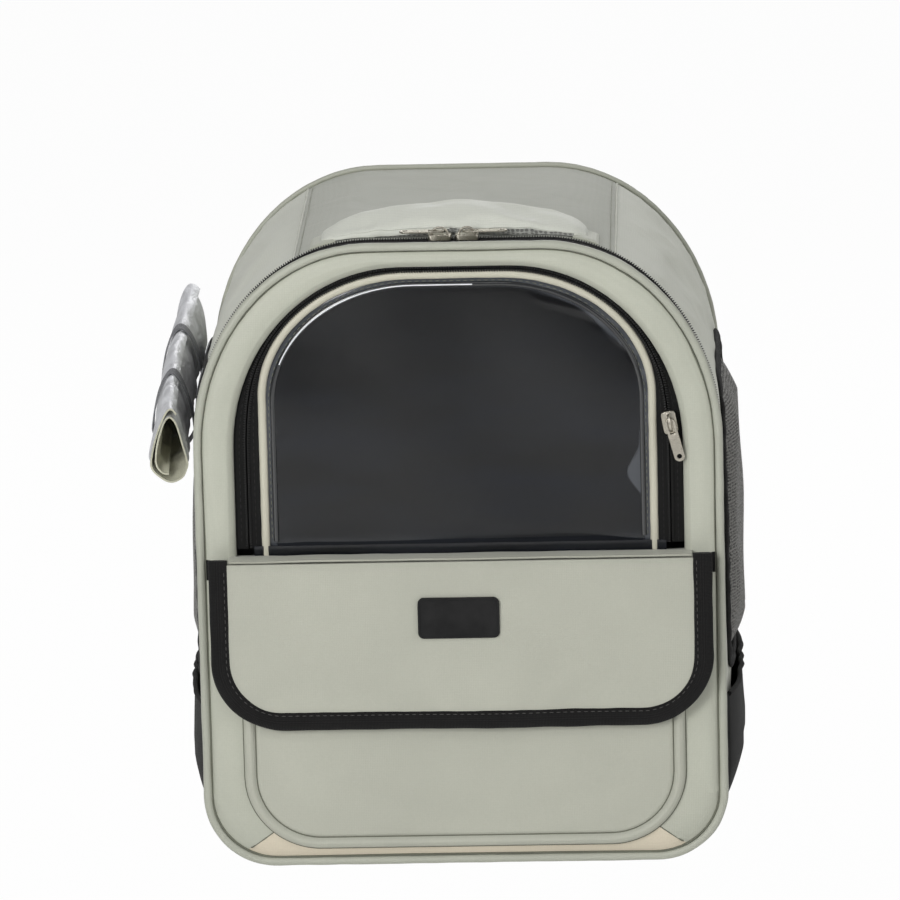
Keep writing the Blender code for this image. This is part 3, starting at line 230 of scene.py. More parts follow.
def bands(tree, place, spacing, direction, distortion, detail=2.0, detail_scale=1.0):
    """A Wave Texture's bands, repeated at a spacing in metres."""
    return add_node(
        tree, "ShaderNodeTexWave",
        {"Vector": place, "Scale": 2 * math.pi / (20 * spacing), "Distortion": distortion,
         "Detail": detail, "Detail Scale": detail_scale},
        wave_type="BANDS", bands_direction=direction,
    ).outputs["Fac"]


def weave(tree, place, spacing, uneven):
    """Height of a plain weave: bands along each axis, so that it shows on any face."""
    rows = [bands(tree, place, spacing, axis, uneven, 1.0, 2.0) for axis in "XYZ"]
    total = maths(tree, "ADD", maths(tree, "ADD", rows[0], rows[1]), rows[2])
    return maths(tree, "MULTIPLY", total, 1 / 3)


def mixed(tree, factor, one, two):
    """One colour turned to another by a factor."""
    return add_node(
        tree, "ShaderNodeMix", {0: factor, 6: one, 7: two}, data_type="RGBA", blend_type="MIX"
    ).outputs[2]


def ranged(tree, value, low, high, to_low, to_high):
    """A value moved from one range to another and held inside it."""
    return add_node(
        tree, "ShaderNodeMapRange",
        {"Value": value, "From Min": low, "From Max": high, "To Min": to_low, "To Max": to_high},
    ).outputs["Result"]


def bumped(tree, *layers):
    """Bumps laid over each other, each with its strength, its distance and its height."""
    normal = {}
    for strength, distance, height in layers:
        node = add_node(
            tree, "ShaderNodeBump",
            {"Strength": strength, "Distance": distance, "Height": height, **normal},
        )
        normal = {"Normal": node.outputs[0]}
    return node.outputs[0]


def cloth_material(name, colour, spacing, coating=0.35, rough=0.62, crease=0.25, seam_shade=0.16):
    """Coated oxford cloth: a plain weave under a thin coat, matt with a soft gloss on folds."""
    material, tree, shader = new_material(name)
    place = object_place(tree)
    threads = weave(tree, place, spacing, 1.2)
    blotch = noise_value(tree, place, 14.0, 5.0)
    fibre = noise_value(tree, place, 900.0, 2.0)
    folds = noise_value(tree, place, 22.0, 3.0, 0.45, 0.6)
    toned = mixed(
        tree, ranged(tree, blotch, 0.3, 0.7, 0.0, 1.0),
        full_colour(colour, 0.965), full_colour(colour, 1.035),
    )
    speckled = mixed(
        tree, ranged(tree, fibre, 0.35, 0.7, 0.0, 0.10), toned, full_colour(colour, 0.62)
    )
    lined = mixed(
        tree, ranged(tree, threads, 0.25, 0.75, 0.10, 0.0), speckled, full_colour(colour, 0.55)
    )
    # Painted shade: the cloth is darker along its seams and edges, where the piece's edge attribute
    # is high.
    seam_shading = maths(tree, "MULTIPLY", edge_shade_and_glint_mask(tree), seam_shade)
    fill(tree, shader, {
        "Base Color": mixed(tree, seam_shading, lined, full_colour(colour, 0.45)),
        "Roughness": ranged(tree, blotch, 0.25, 0.75, rough - 0.07, rough + 0.07),
        "Sheen Weight": 0.15,
        "Sheen Roughness": 0.5,
        "Coat Weight": coating * 0.3,
        "Coat Roughness": 0.45,
        "Normal": bumped(tree, (crease, 0.004, folds), (0.35, 0.0003, threads)),
    })
    return material


def tape_material(name, colour, rib, rough=0.8, twill=0.0, lighter=1.9):
    """Woven tape: ribs across its own length, dull, with paler worn threads."""
    material, tree, shader = new_material(name)
    turned = add_node(
        tree, "ShaderNodeMapping", {"Vector": own_map(tree), "Rotation": (0, 0, twill)}
    ).outputs[0]
    ribs = bands(tree, turned, rib, "X", 0.4)
    rows = bands(tree, turned, rib * 0.7, "Y", 0.4)
    height = maths(tree, "MULTIPLY", ribs, rows)
    dust = noise_value(tree, object_place(tree), 60.0, 4.0)
    woven = mixed(
        tree, ranged(tree, height, 0.1, 0.8, 0.0, 1.0),
        full_colour(colour, 0.6), full_colour(colour, 1.25),
    )
    fill(tree, shader, {
        "Base Color": mixed(
            tree, ranged(tree, dust, 0.5, 0.75, 0.0, 0.35), woven, full_colour(colour, lighter)
        ),
        "Roughness": ranged(tree, height, 0.0, 1.0, rough + 0.1, rough - 0.1),
        "Sheen Weight": 0.05,
        "Specular IOR Level": 0.3,
        "Normal": bumped(tree, (0.7, 0.0004, height)),
    })
    return material


def solid_material(name, colour, rough, grain, depth, metallic=0.0, coat=0.0, scratch=0.0):
    """Moulded or cast piece: an even colour with a fine grain and a little handling wear."""
    material, tree, shader = new_material(name)
    place = object_place(tree)
    fine = noise_value(tree, place, 1 / grain, 3.0)
    broad = noise_value(tree, place, 90.0, 4.0)
    marks = noise_value(tree, place, 420.0, 1.0, distortion=4.0)
    toned = mixed(
        tree, ranged(tree, broad, 0.3, 0.7, 0.0, 1.0),
        full_colour(colour, 0.92), full_colour(colour, 1.08),
    )
    fill(tree, shader, {
        "Base Color": mixed(
            tree, ranged(tree, marks, 0.58, 0.66, 0.0, scratch), toned, full_colour(colour, 1.6)
        ),
        "Roughness": ranged(tree, broad, 0.3, 0.7, rough - 0.06, rough + 0.08),
        "Metallic": metallic,
        "Coat Weight": coat,
        "Normal": bumped(tree, (0.3, depth, fine)),
    })
    return material


def pane_material(name, colour, hem_glint_colour):
    """Clear soft PVC: glossy and slightly wavy, near-black and nearly opaque as painted shade of the
    dark cabin behind it, and paler at its hem as a painted reflection.
    """
    material, tree, shader = new_material(name)
    place = object_place(tree)
    hem = edge_shade_and_glint_mask(tree)
    ripple = noise_value(tree, place, 9.0, 2.0)
    long_way = add_node(tree, "ShaderNodeMapping", {"Vector": place, "Scale": (0.35, 1.0, 1.6)})
    smudge = noise_value(tree, long_way.outputs[0], 26.0, 5.0, 0.6)
    # The haze thins out near the top: painted shade, where the sheet shows the darkest part of the
    # cabin.
    height = add_node(tree, "ShaderNodeSeparateXYZ", {0: place}).outputs["Z"]
    haze = maths(
        tree, "MULTIPLY", ranged(tree, smudge, 0.40, 0.72, 0.0, 1.0),
        ranged(tree, height, 0.30, 0.36, 1.0, 0.1),
    )
    hazy = mixed(tree, haze, full_colour(colour), full_colour(colour, 6.0))
    fill(tree, shader, {
        # Painted reflection: the hem is paler; painted shade: the rest is near-black and nearly
        # opaque.
        "Base Color": mixed(tree, hem, hazy, full_colour(hem_glint_colour)),
        "Alpha": ranged(tree, hem, 0.0, 1.0, 0.94, 0.98),
        "Roughness": ranged(tree, smudge, 0.3, 0.75, 0.06, 0.20),
        "IOR": 1.48,
        "Normal": bumped(tree, (0.20, 0.004, ripple)),
    })
    return material


def mesh_material(name, colour, cell, gap_alpha, dark):
    """Knitted polyester mesh: rounded holes in staggered rows, drawn coarse enough to show."""
    material, tree, shader = new_material(name)
    cells = add_node(
        tree, "ShaderNodeTexVoronoi",
        {"Vector": own_map(tree), "Scale": 1 / cell, "Randomness": 0.35},
        voronoi_dimensions="2D", feature="F1",
    ).outputs["Distance"]
    yarn = ranged(tree, cells, 0.24, 0.42, 0.0, 1.0)
    fill(tree, shader, {
        "Base Color": mixed(tree, yarn, full_colour(colour, dark), full_colour(colour, 1.12)),
        "Alpha": ranged(tree, yarn, 0.0, 1.0, gap_alpha, 1.0),
        "Roughness": 0.75,
        "Sheen Weight": 0.2,
        "Normal": bumped(tree, (0.8, 0.0008, yarn)),
    })
    return material


def foil_material(name, colour):
    """Metallised cloth: a crumpled silver film with a fine weave pressed through it."""
    material, tree, shader = new_material(name)
    place = object_place(tree)
    threads = weave(tree, place, 0.0013, 1.5)
    crumple = noise_value(tree, place, 75.0, 5.0, distortion=1.2)
    fill(tree, shader, {
        "Base Color": mixed(
            tree, ranged(tree, crumple, 0.3, 0.7, 0.0, 1.0),
            full_colour(colour, 0.72), full_colour(colour, 1.0),
        ),
        "Metallic": 0.30,
        "Roughness": ranged(tree, crumple, 0.3, 0.7, 0.34, 0.55),
        "Normal": bumped(tree, (0.8, 0.0025, crumple), (0.3, 0.0003, threads)),
    })
    return material


def sheet(columns, rows, place, size, edge_shade_and_glint=None):
    """A grid of points laid out by a function of u and v, both from 0 to 1."""
    bm = bmesh.new()
    bmesh.ops.create_grid(bm, x_segments=columns, y_segments=rows, size=0.5)
    own = bm.loops.layers.uv.new("UVMap")
    # A layer for painted shade along seams and edges, and for the painted reflection on a clear
    # sheet's hem.
    edge_shade_and_glint_layer = bm.verts.layers.float.new("edge_shade_and_glint")
    for face in bm.faces:
        for corner in face.loops:
            u, v = corner.vert.co.x + 0.5, corner.vert.co.y + 0.5
            corner[own].uv = (u * size[0], v * size[1])
    for vertex in bm.verts:
        u, v = held(vertex.co.x + 0.5), held(vertex.co.y + 0.5)
        vertex[edge_shade_and_glint_layer] = edge_shade_and_glint(u, v) if edge_shade_and_glint else 0.0
        vertex.co = place(u, v)
    return bm


def closed_up(bm):
    """Weld a shape's seams and turn its faces outward."""
    bmesh.ops.remove_doubles(bm, verts=bm.verts, dist=WELD)
    bmesh.ops.dissolve_degenerate(bm, edges=bm.edges, dist=WELD)
    bmesh.ops.recalc_face_normals(bm, faces=bm.faces)
    return bm


def thickened(bm, thickness):
    """Give a sheet its thickness, on its side that faces the cabin."""
    bmesh.ops.recalc_face_normals(bm, faces=bm.faces)
    outward = sum(
        face.calc_area() * face.normal.dot(face.calc_center_median() - CABIN)
        for face in bm.faces
    )
    if outward < 0:
        bmesh.ops.reverse_faces(bm, faces=bm.faces[:])
    bmesh.ops.solidify(bm, geom=bm.faces[:], thickness=thickness)
    return bm


def ends_filled(bm):
    """Close a shape's open ends."""
    ends = [edge for edge in bm.edges if edge.is_boundary]
    if ends:
        bmesh.ops.holes_fill(bm, edges=ends, sides=0)
        bmesh.ops.recalc_face_normals(bm, faces=bm.faces)
    return bm


def side_turned(bm, outward):
    """Turn the faces whose normal fails a test."""
    for face in bm.faces:
        if not outward(face.normal):
            face.normal_flip()


def dark_faces(bm, test, index=1):
    """Give the faces that pass a test the piece's second material, or the one at an index."""
    for face in bm.faces:
        if test(face.calc_center_median(), face.normal):
            face.material_index = index


def piece(name, bm, materials, body, slot, nodes=()):
    """Make the finished object, let it ride on its body if it has one, and hide the imported solids
    that it replaces.
    """
    mesh = bpy.data.meshes.new(name)
    bm.to_mesh(mesh)
    bm.free()
    for material in materials if isinstance(materials, tuple) else (materials,):
        mesh.materials.append(bpy.data.materials[material])
    mesh.shade_smooth()
    mesh.set_sharp_from_angle(angle=SHARP_ANGLE)
    made = bpy.data.objects.new(name, mesh)
    bpy.context.scene.collection.objects.link(made)
    if body:
        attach(made, body)
    if nodes:
        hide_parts(*nodes)
    return made


def held(value, low=0.0, high=1.0):
    """A value held inside a range."""
    return min(max(value, low), high)


def between(start, end, share):
    return start + (end - start) * share


def bell(value, middle, spread):
    """A smooth hump of height 1 round a middle."""
    return math.exp(-((value - middle) / spread) ** 2)


def circle(across):
    """Height of a circle of radius 1 at a distance across its middle."""
    return math.sqrt(max(1 - across ** 2, 0.0))


def noise_at(*place):
    """Smooth noise at a point."""
    return noise.noise(Vector(place))


def arc(cx, cz, rx, rz, start, end, steps):
    """Points of an ellipse's arc between two angles in degrees."""
    turns = [math.radians(start + (end - start) * step / steps) for step in range(steps + 1)]
    return [(cx + rx * math.cos(turn), cz + rz * math.sin(turn)) for turn in turns]


def crown_arcs(side, top, wide, high, steps):
    """The two upper corners of an arch, from right to left."""
    return (
        arc(side - wide, top - high, wide, high, 0, 90, steps)
        + arc(wide - side, top - high, wide, high, 90, 180, steps)
    )


def body_outline(sizes, inset):
    """The bag's outline seen from the front, from its lower right corner round."""
    side = HALF_WIDTH - inset
    foot = sizes.foot_radius - inset
    crown = crown_arcs(side, BODY_HEIGHT - inset, sizes.crown_width - inset,
                       sizes.crown_height - inset, CORNER_STEPS)
    return (
        arc(side - foot, inset + foot, foot, foot, -90, 0, CORNER_STEPS)
        + crown
        + arc(foot - side, inset + foot, foot, foot, 180, 270, CORNER_STEPS)
    )


def arch(side, bottom, top, crown, steps=CORNER_STEPS):
    """A window's sides and crown, from its lower right round to its lower left."""
    return [(side, bottom)] + crown_arcs(side, top, *crown, steps) + [(-side, bottom)]


def rounded_box(low, high, radius, start, steps):
    """A box with round corners, from the corner whose arc starts at an angle round."""
    points = []
    for angle in range(start, start + 360, 90):
        right, upper = angle % 360 in (0, 270), angle % 360 in (0, 90)
        cx = high[0] - radius if right else low[0] + radius
        cz = high[1] - radius if upper else low[1] + radius
        points += arc(cx, cz, radius, radius, angle, angle + 90, steps)
    return points


def pouch(side, bottom, top, foot, steps=12):
    """A pocket's sides and foot, from its upper right down and round to its upper left."""
    return (
        [(side, top)]
        + arc(side - foot, bottom + foot, foot, foot, 0, -90, steps)
        + arc(foot - side, bottom + foot, foot, foot, -90, -180, steps)
        + [(-side, top)]
    )


def lengths_along(line):
    """How far along a line each of its points lies."""
    lengths = [0.0]
    for one, two in zip(line, line[1:]):
        lengths.append(lengths[-1] + (two - one).length)
    return lengths


def even_points(points, count, closed=False):
    """The same line through points at even distances; a 3-D or 2-D line."""
    line = [Vector(point) for point in points]
    if closed:
        line.append(line[0].copy())
    lengths = lengths_along(line)
    spaced = []
    index = 0
    for step in range(count if closed else count + 1):
        target = lengths[-1] * step / count
        while index < len(line) - 2 and lengths[index + 1] < target:
            index += 1
        span = max(lengths[index + 1] - lengths[index], 1e-12)
        spaced.append(line[index].lerp(line[index + 1], (target - lengths[index]) / span))
    return spaced


def line_length(points, closed=False):
    return lengths_along([*points, points[0]] if closed else points)[-1]


def upright(points, y):
    """A line in X-Z put at a depth."""
    return [Vector((x, y, z)) for x, z in points]


def frames_along(points, closed, up):
    """Each point's direction along the line, and two directions across it."""
    frames = []
    last = len(points) - 1
    for index, point in enumerate(points):
        before = points[index - 1] if closed or index else point
        after = points[(index + 1) % len(points)] if closed or index < last else point
        along = (after - before).normalized()
        across = along.cross(up)
        if across.length < 1e-6:
            across = along.orthogonal()
        across.normalize()
        frames.append((along, across, across.cross(along).normalized()))
    return frames


def tube(points, radius, closed=False, sides=6, up=Y_AXIS, flat=1.0, uneven=0.0, scale=90.0):
    """A cord along a line, with its own lengthways map; uneven wrinkles its cover."""
    frames = frames_along(points, closed, up)
    count = len(points) if closed else len(points) - 1

    def place(u, v):
        index = round(u * count) % len(points)
        _, across, out = frames[index]
        turn = 2 * math.pi * v
        swell = radius
        if uneven:
            spot = points[index] + across * math.cos(turn) * radius + out * math.sin(turn) * radius
            swell += uneven * noise.noise(spot * scale)
        return points[index] + across * math.cos(turn) * swell + out * math.sin(turn) * swell * flat

    reach = line_length(points, closed)
    return ends_filled(closed_up(sheet(count, sides, place, (reach, 2 * math.pi * radius))))


def joined(*shapes):
    """One mesh of several; the first keeps its layers."""
    whole = shapes[0]
    for other in shapes[1:]:
        mesh = bpy.data.meshes.new("joining")
        other.to_mesh(mesh)
        other.free()
        whole.from_mesh(mesh)
        bpy.data.meshes.remove(mesh)
    return whole


def beads(points, frames, step, size, shift=0.0, lean=0.0, start=0.0):
    """Many small rounded shapes along a line, such as stitches or the teeth of a zip."""
    whole = bmesh.new()
    reach = line_length(points)
    count = max(int((reach - start) / step), 1)
    spots = even_points(points, len(points) * 4)
    travelled = lengths_along(spots)
    index = 0
    ball = bmesh.new()
    bmesh.ops.create_uvsphere(ball, u_segments=6, v_segments=4, radius=0.5)
    model = bpy.data.meshes.new("bead")
    ball.to_mesh(model)
    ball.free()
    for number in range(count):
        target = start + (number + 0.5) * step
        while index < len(travelled) - 2 and travelled[index + 1] < target:
            index += 1
        share = min(target / reach, 1.0) * (len(points) - 1)
        along, across, out = frames[min(round(share), len(frames) - 1)]
        centre = spots[index].lerp(
            spots[index + 1],
            (target - travelled[index]) / max(travelled[index + 1] - travelled[index], 1e-9),
        )
        turn = Matrix((along, across, out)).transposed() @ Matrix.Rotation(lean, 3, "Z")
        shape = turn @ Matrix.Diagonal(size)
        before = len(whole.verts)
        whole.from_mesh(model)
        whole.verts.ensure_lookup_table()
        for vertex in whole.verts[before:]:
            vertex.co = shape @ vertex.co + centre + across * shift
    bpy.data.meshes.remove(model)
    return whole


def stitches(sizes, points, up=Y_AXIS, thread=0.0007, closed=False):
    """A row of sewn stitches along a line."""
    line = [*points, points[0]] if closed else points
    step = sizes.stitch_length + sizes.stitch_gap
    return beads(line, frames_along(line, False, up), step, (sizes.stitch_length, thread, thread))


def squared(value, power):
    """A sine or cosine that runs round a fuller section than a circle."""
    return math.copysign(abs(value) ** power, value)


def lumpy(point, scale, height, seed=0.0):
    """A smooth uneven height at a point."""
    return height * noise.noise(Vector(point) * scale + Vector((seed, seed * 1.7, -seed)))


def ring_profile(share, width, puff):
    """How far padding stands out at a share of its width: full in the middle, drawn in at seams."""
    rounding = 0.011
    reach = min(min(share, 1 - share) * width / rounding, 1.0)
    return puff * circle(1 - reach)


def ring_lines(sizes, count):
    """The front's outer seam and its window's edge, matched point for point."""
    inset = 2 * (RING_HIGH[1] - RING_LINE)
    outline = [Vector(point) for point in body_outline(sizes, inset)]
    sill = sizes.window_sill
    upper = [point for point in outline if point.y > sill]
    side = HALF_WIDTH - inset
    upper = [Vector((side, sill))] + upper + [Vector((-side, sill))]
    lower = [point for point in outline if point.y <= sill]
    right = [point for point in lower if point.x > 0]
    left = [point for point in lower if point.x < 0]
    lower = [Vector((-side, sill))] + left + right + [Vector((side, sill))]
    opening = arch(sizes.window_half, sill, sizes.window_top, WINDOW_CROWN)
    ledge = [(-sizes.window_half, sill), (sizes.window_half, sill)]
    above = round(count * 0.6)
    below = count - above
    outer = even_points(upper, above)[:-1] + even_points(lower, below)[:-1]
    inner = even_points(opening, above)[:-1] + even_points(ledge, below)[:-1]
    return outer, inner


class BASKET_OT_door(bpy.types.Operator):
    """Padded front of the basket, which opens as its door"""

    bl_idname = "basket.door"
    bl_label = "Front door"

    def execute(self, context):
        sizes = context.scene.basket_sizes
        count = 260
        outer, inner = ring_lines(sizes, count)
        front, back = RING_LINE, DOOR_BACK
        face_share, edge_share = 0.62, 0.05
        sunk_edge = 0.002

        def place(u, v):
            index = round(u * count) % count
            start, end = outer[index], inner[index]
            width = (end - start).length
            if v <= face_share:
                share = v / face_share
                spot = start.lerp(end, share)
                lift = ring_profile(share, width, sizes.ring_puff)
                soft = lumpy((spot.x, 0, spot.y), 16.0, 0.0009)
                soft += lumpy((spot.x * 0.6, 0, spot.y), 46.0, 0.0007, 5.0) * (spot.y > 0.28)
                lift += soft * min(lift / 0.002, 1.0)
                sink = sunk_edge * max(1 - (1 - share) * width / 0.004, 0.0)
                return (spot.x, front - lift + sink, spot.y)
            if v <= face_share + edge_share:
                share = (v - face_share) / edge_share
                return (end.x, between(front + sunk_edge, back, share), end.y)
            if v <= 1 - edge_share:
                share = (v - face_share - edge_share) / (1 - face_share - 2 * edge_share)
                spot = end.lerp(start, share)
                return (spot.x, back, spot.y)
            share = (v - 1 + edge_share) / edge_share
            return (start.x, between(back, front, share), start.y)

        # Painted shade: the padded face darkens towards its seams at the piping and at the window's
        # edge.
        def edge_shade_and_glint(u, v):
            share = min(v / face_share, 1.0)
            return max(1 - min(share, 1 - share) / 0.12, 0.0)

        bm = closed_up(sheet(count, 44, place, (1.3, 0.06), edge_shade_and_glint))
        near_back = back - 0.0005
        dark_faces(bm, lambda c, n: c.y > near_back)
        # A strip of another cloth runs along the foot, mitred at both of its ends; its warmer colour
        # is painted light, bounced up from below.
        strip, mitre, slope = 0.045, 0.1534, 1.381
        for spot, normal in (
            ((0, 0, strip), (0, 0, 1)),
            ((mitre, 0, 0), (1, 0, slope)),
            ((-mitre, 0, 0), (-1, 0, slope)),
        ):
            bmesh.ops.bisect_plane(
                bm, geom=bm.verts[:] + bm.edges[:] + bm.faces[:],
                plane_co=spot, plane_no=normal, dist=WELD,
            )
        dark_faces(
            bm,
            lambda c, n: c.z < strip and abs(c.x) < mitre - slope * c.z and c.y < near_back,
            index=2,
        )
        # Dark lines along the two mitres, in the seam shadow finish, are painted shade in the seams.
        mitres = []
        for sign in (-1, 1):
            line = []
            for step in range(24):
                z = between(0.008, 0.038, step / 23)
                x = sign * (mitre - slope * z)
                found = min(bm.verts, key=lambda vertex: (
                    (vertex.co.x - x) ** 2 + (vertex.co.z - z) ** 2
                    + (vertex.co.y > front + 0.001)
                ))
                line.append(Vector((x, found.co.y + 0.0001, z)))
            mitres.append(tube(line, 0.0004))
        piece("mitre_seam_shadows", joined(*mitres), "seam thread", "front_door", "cloth")
        padded = piece(
            "padded_front", bm, ("grey oxford cloth", "cabin lining", "strip cloth with painted bounce light"),
            "front_door", "cloth", ("door_panel",),
        )
        return {"FINISHED"}


class BASKET_OT_piping(bpy.types.Operator):
    """Covered cords sewn into the seams round the front and the rear"""

    bl_idname = "basket.piping"
    bl_label = "Piping"

    def execute(self, context):
        sizes = context.scene.basket_sizes
        # A strip of cloth joins the walls' rear edge to the seam of the rear cord.
        count, cloth = 300, 0.0012
        cord_front, cord_back = (corner[1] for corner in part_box("rear_piping"))
        wall, cord = (
            even_points(body_outline(sizes, inset), count, closed=True)
            for inset in (HALF_WIDTH - SIDE_LINE + cloth, (cord_back - cord_front) * 0.9)
        )

        def strip(u, v):
            index = round(u * count) % count
            spot = wall[index].lerp(cord[index], v)
            return (spot.x, between(SHELL_BACK - 0.004, (cord_front + cord_back) / 2, v), spot.y)

        bm = thickened(closed_up(sheet(count, 6, strip, (1.3, 0.012))), cloth)
        piece("rear_seam_strip", bm, "grey oxford cloth", "carrier", "cloth")
        for name, node, body, scale in (
            ("front_piping", "door_piping", "front_door", 70.0),
            ("rear_edge_piping", "rear_piping", "carrier", 80.0),
        ):
            low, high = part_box(node)
            radius = (high[1] - low[1]) / 2
            line = upright(
                even_points(body_outline(sizes, radius), 420, closed=True), (low[1] + high[1]) / 2
            )
            bm = tube(line, radius, closed=True, sides=12, uneven=radius * 0.10, scale=scale)
            piece(name, bm, "piping cloth", body, "piping", (node,))
            # A thin dark line just inside each cord, in the seam shadow finish, is painted shade in
            # the crevice between the cord and the cloth beside it.
            outward = -0.25 if body == "front_door" else 0.25
            for point in line:
                inward = (Vector((0, point.y, BODY_HEIGHT / 2)) - point).normalized()
                point += inward * radius * 1.3
                point.y += radius * outward
            piece(f"{name}_seam", tube(line, radius * 0.28, closed=True), "seam thread", body,
                  "piping")
        return {"FINISHED"}


def coil(sizes, line, y, body, name, side):
    """One half of a zip's coil: lean teeth along a line, with the cord that carries them."""
    path = upright(line, y)
    pitch, tooth = sizes.coil_pitch, (0.0010, 0.0028, 0.0014)
    teeth = beads(
        path, frames_along(path, False, Y_AXIS), pitch, tooth, shift=side * 0.0009,
        lean=side * math.radians(12), start=0.0 if side > 0 else pitch / 2,
    )
    piece(name, joined(teeth, tube(path, 0.0007)), "zip coil", body, "black_tape")


class BASKET_OT_zips(bpy.types.Operator):
    """Zip tapes and coils round the door and the window"""

    bl_idname = "basket.zips"
    bl_label = "Zips"

    def execute(self, context):
        sizes = context.scene.basket_sizes
        (_, _, foot), (_, door_tape_back, _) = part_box("door_zip_tape")
        depth = (door_tape_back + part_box("body_zip_tape")[0][1]) / 2
        # The tape goes on round the foot to the fold; only its teeth stop higher up.
        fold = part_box("door_hinge_strip")[1][0] - 0.001
        count = 340
        for name, node, body, side in (
            ("door_zip_edge", "door_zip_tape", "front_door", -1),
            ("shell_zip_edge", "body_zip_tape", "carrier", 1),
        ):
            low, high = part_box(node)
            inset = HALF_WIDTH - high[0]
            outline = [
                point for point in body_outline(sizes, inset)
                if point[1] > 0.1 or abs(point[0]) >= fold
            ]
            outline = [(fold, inset)] + outline + [(-fold, inset)]
            line = even_points(outline, count)
            frames = frames_along(upright(line, 0.0), False, Y_AXIS)
            inner = [
                point - Vector((frame[1].x, frame[1].z)) * 0.005
                for point, frame in zip(line, frames)
            ]
            if inner[count // 2].y > line[count // 2].y:
                inner = [2 * one - two for one, two in zip(line, inner)]
            near, far = (low[1], high[1]) if side < 0 else (high[1], low[1])

            def place(u, v, line=line, inner=inner, near=near, far=far):
                index = round(u * count)
                spot = inner[index].lerp(line[index], min(v * 2, 1.0))
                return (spot.x, between(near, far, max(v * 2 - 1, 0.0)), spot.y)

            bm = thickened(sheet(count, 8, place, (1.1, 0.010)), 0.0008)
            piece(name, bm, "zip tape", body, "black_tape", (node,))
            sunk = [one.lerp(two, 0.05) for one, two in zip(line, inner) if one.y >= foot]
            coil(sizes, sunk, depth, body, f"{name}_coil", side)
        low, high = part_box("window_outer_tape")
        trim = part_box("window_trim")[1]
        lift = low[1] + 0.0008
        count = 220
        outer, leaf = (
            even_points(arch(corner[0], low[2], corner[2], crown), count)
            for corner, crown in ((high, WINDOW_CROWN), (trim, TRIM_CROWN))
        )
        centre = [one.lerp(two, 0.5) for one, two in zip(outer, leaf)]
        for name, node, body, sign in (
            ("window_zip_frame", "window_outer_tape", "front_door", 1),
            ("window_zip_leaf", "window_inner_tape", "window_door", -1),
        ):
            edge = outer if sign > 0 else leaf

            def place(u, v, edge=edge):
                index = round(u * count)
                spot = edge[index].lerp(centre[index], 0.02 + 0.95 * v)
                return (spot.x, lift + 0.0012 * (1 - v), spot.y)

            bm = thickened(sheet(count, 6, place, (0.62, 0.008)), 0.0009)
            piece(name, bm, "zip tape", body, "black_tape", (node,))
            coil(sizes, centre, lift - 0.0007, body, f"{name}_coil", sign)
            sewn = [one.lerp(two, 0.42) for one, two in zip(edge, centre)]
            rows = stitches(sizes, upright(sewn, lift + 0.0003), thread=0.0005)
            piece(f"{name}_stitches", rows, "black thread", body, "black_tape")
        return {"FINISHED"}


def trim_crown(inset):
    return TRIM_CROWN[0] - inset, TRIM_CROWN[1] - inset


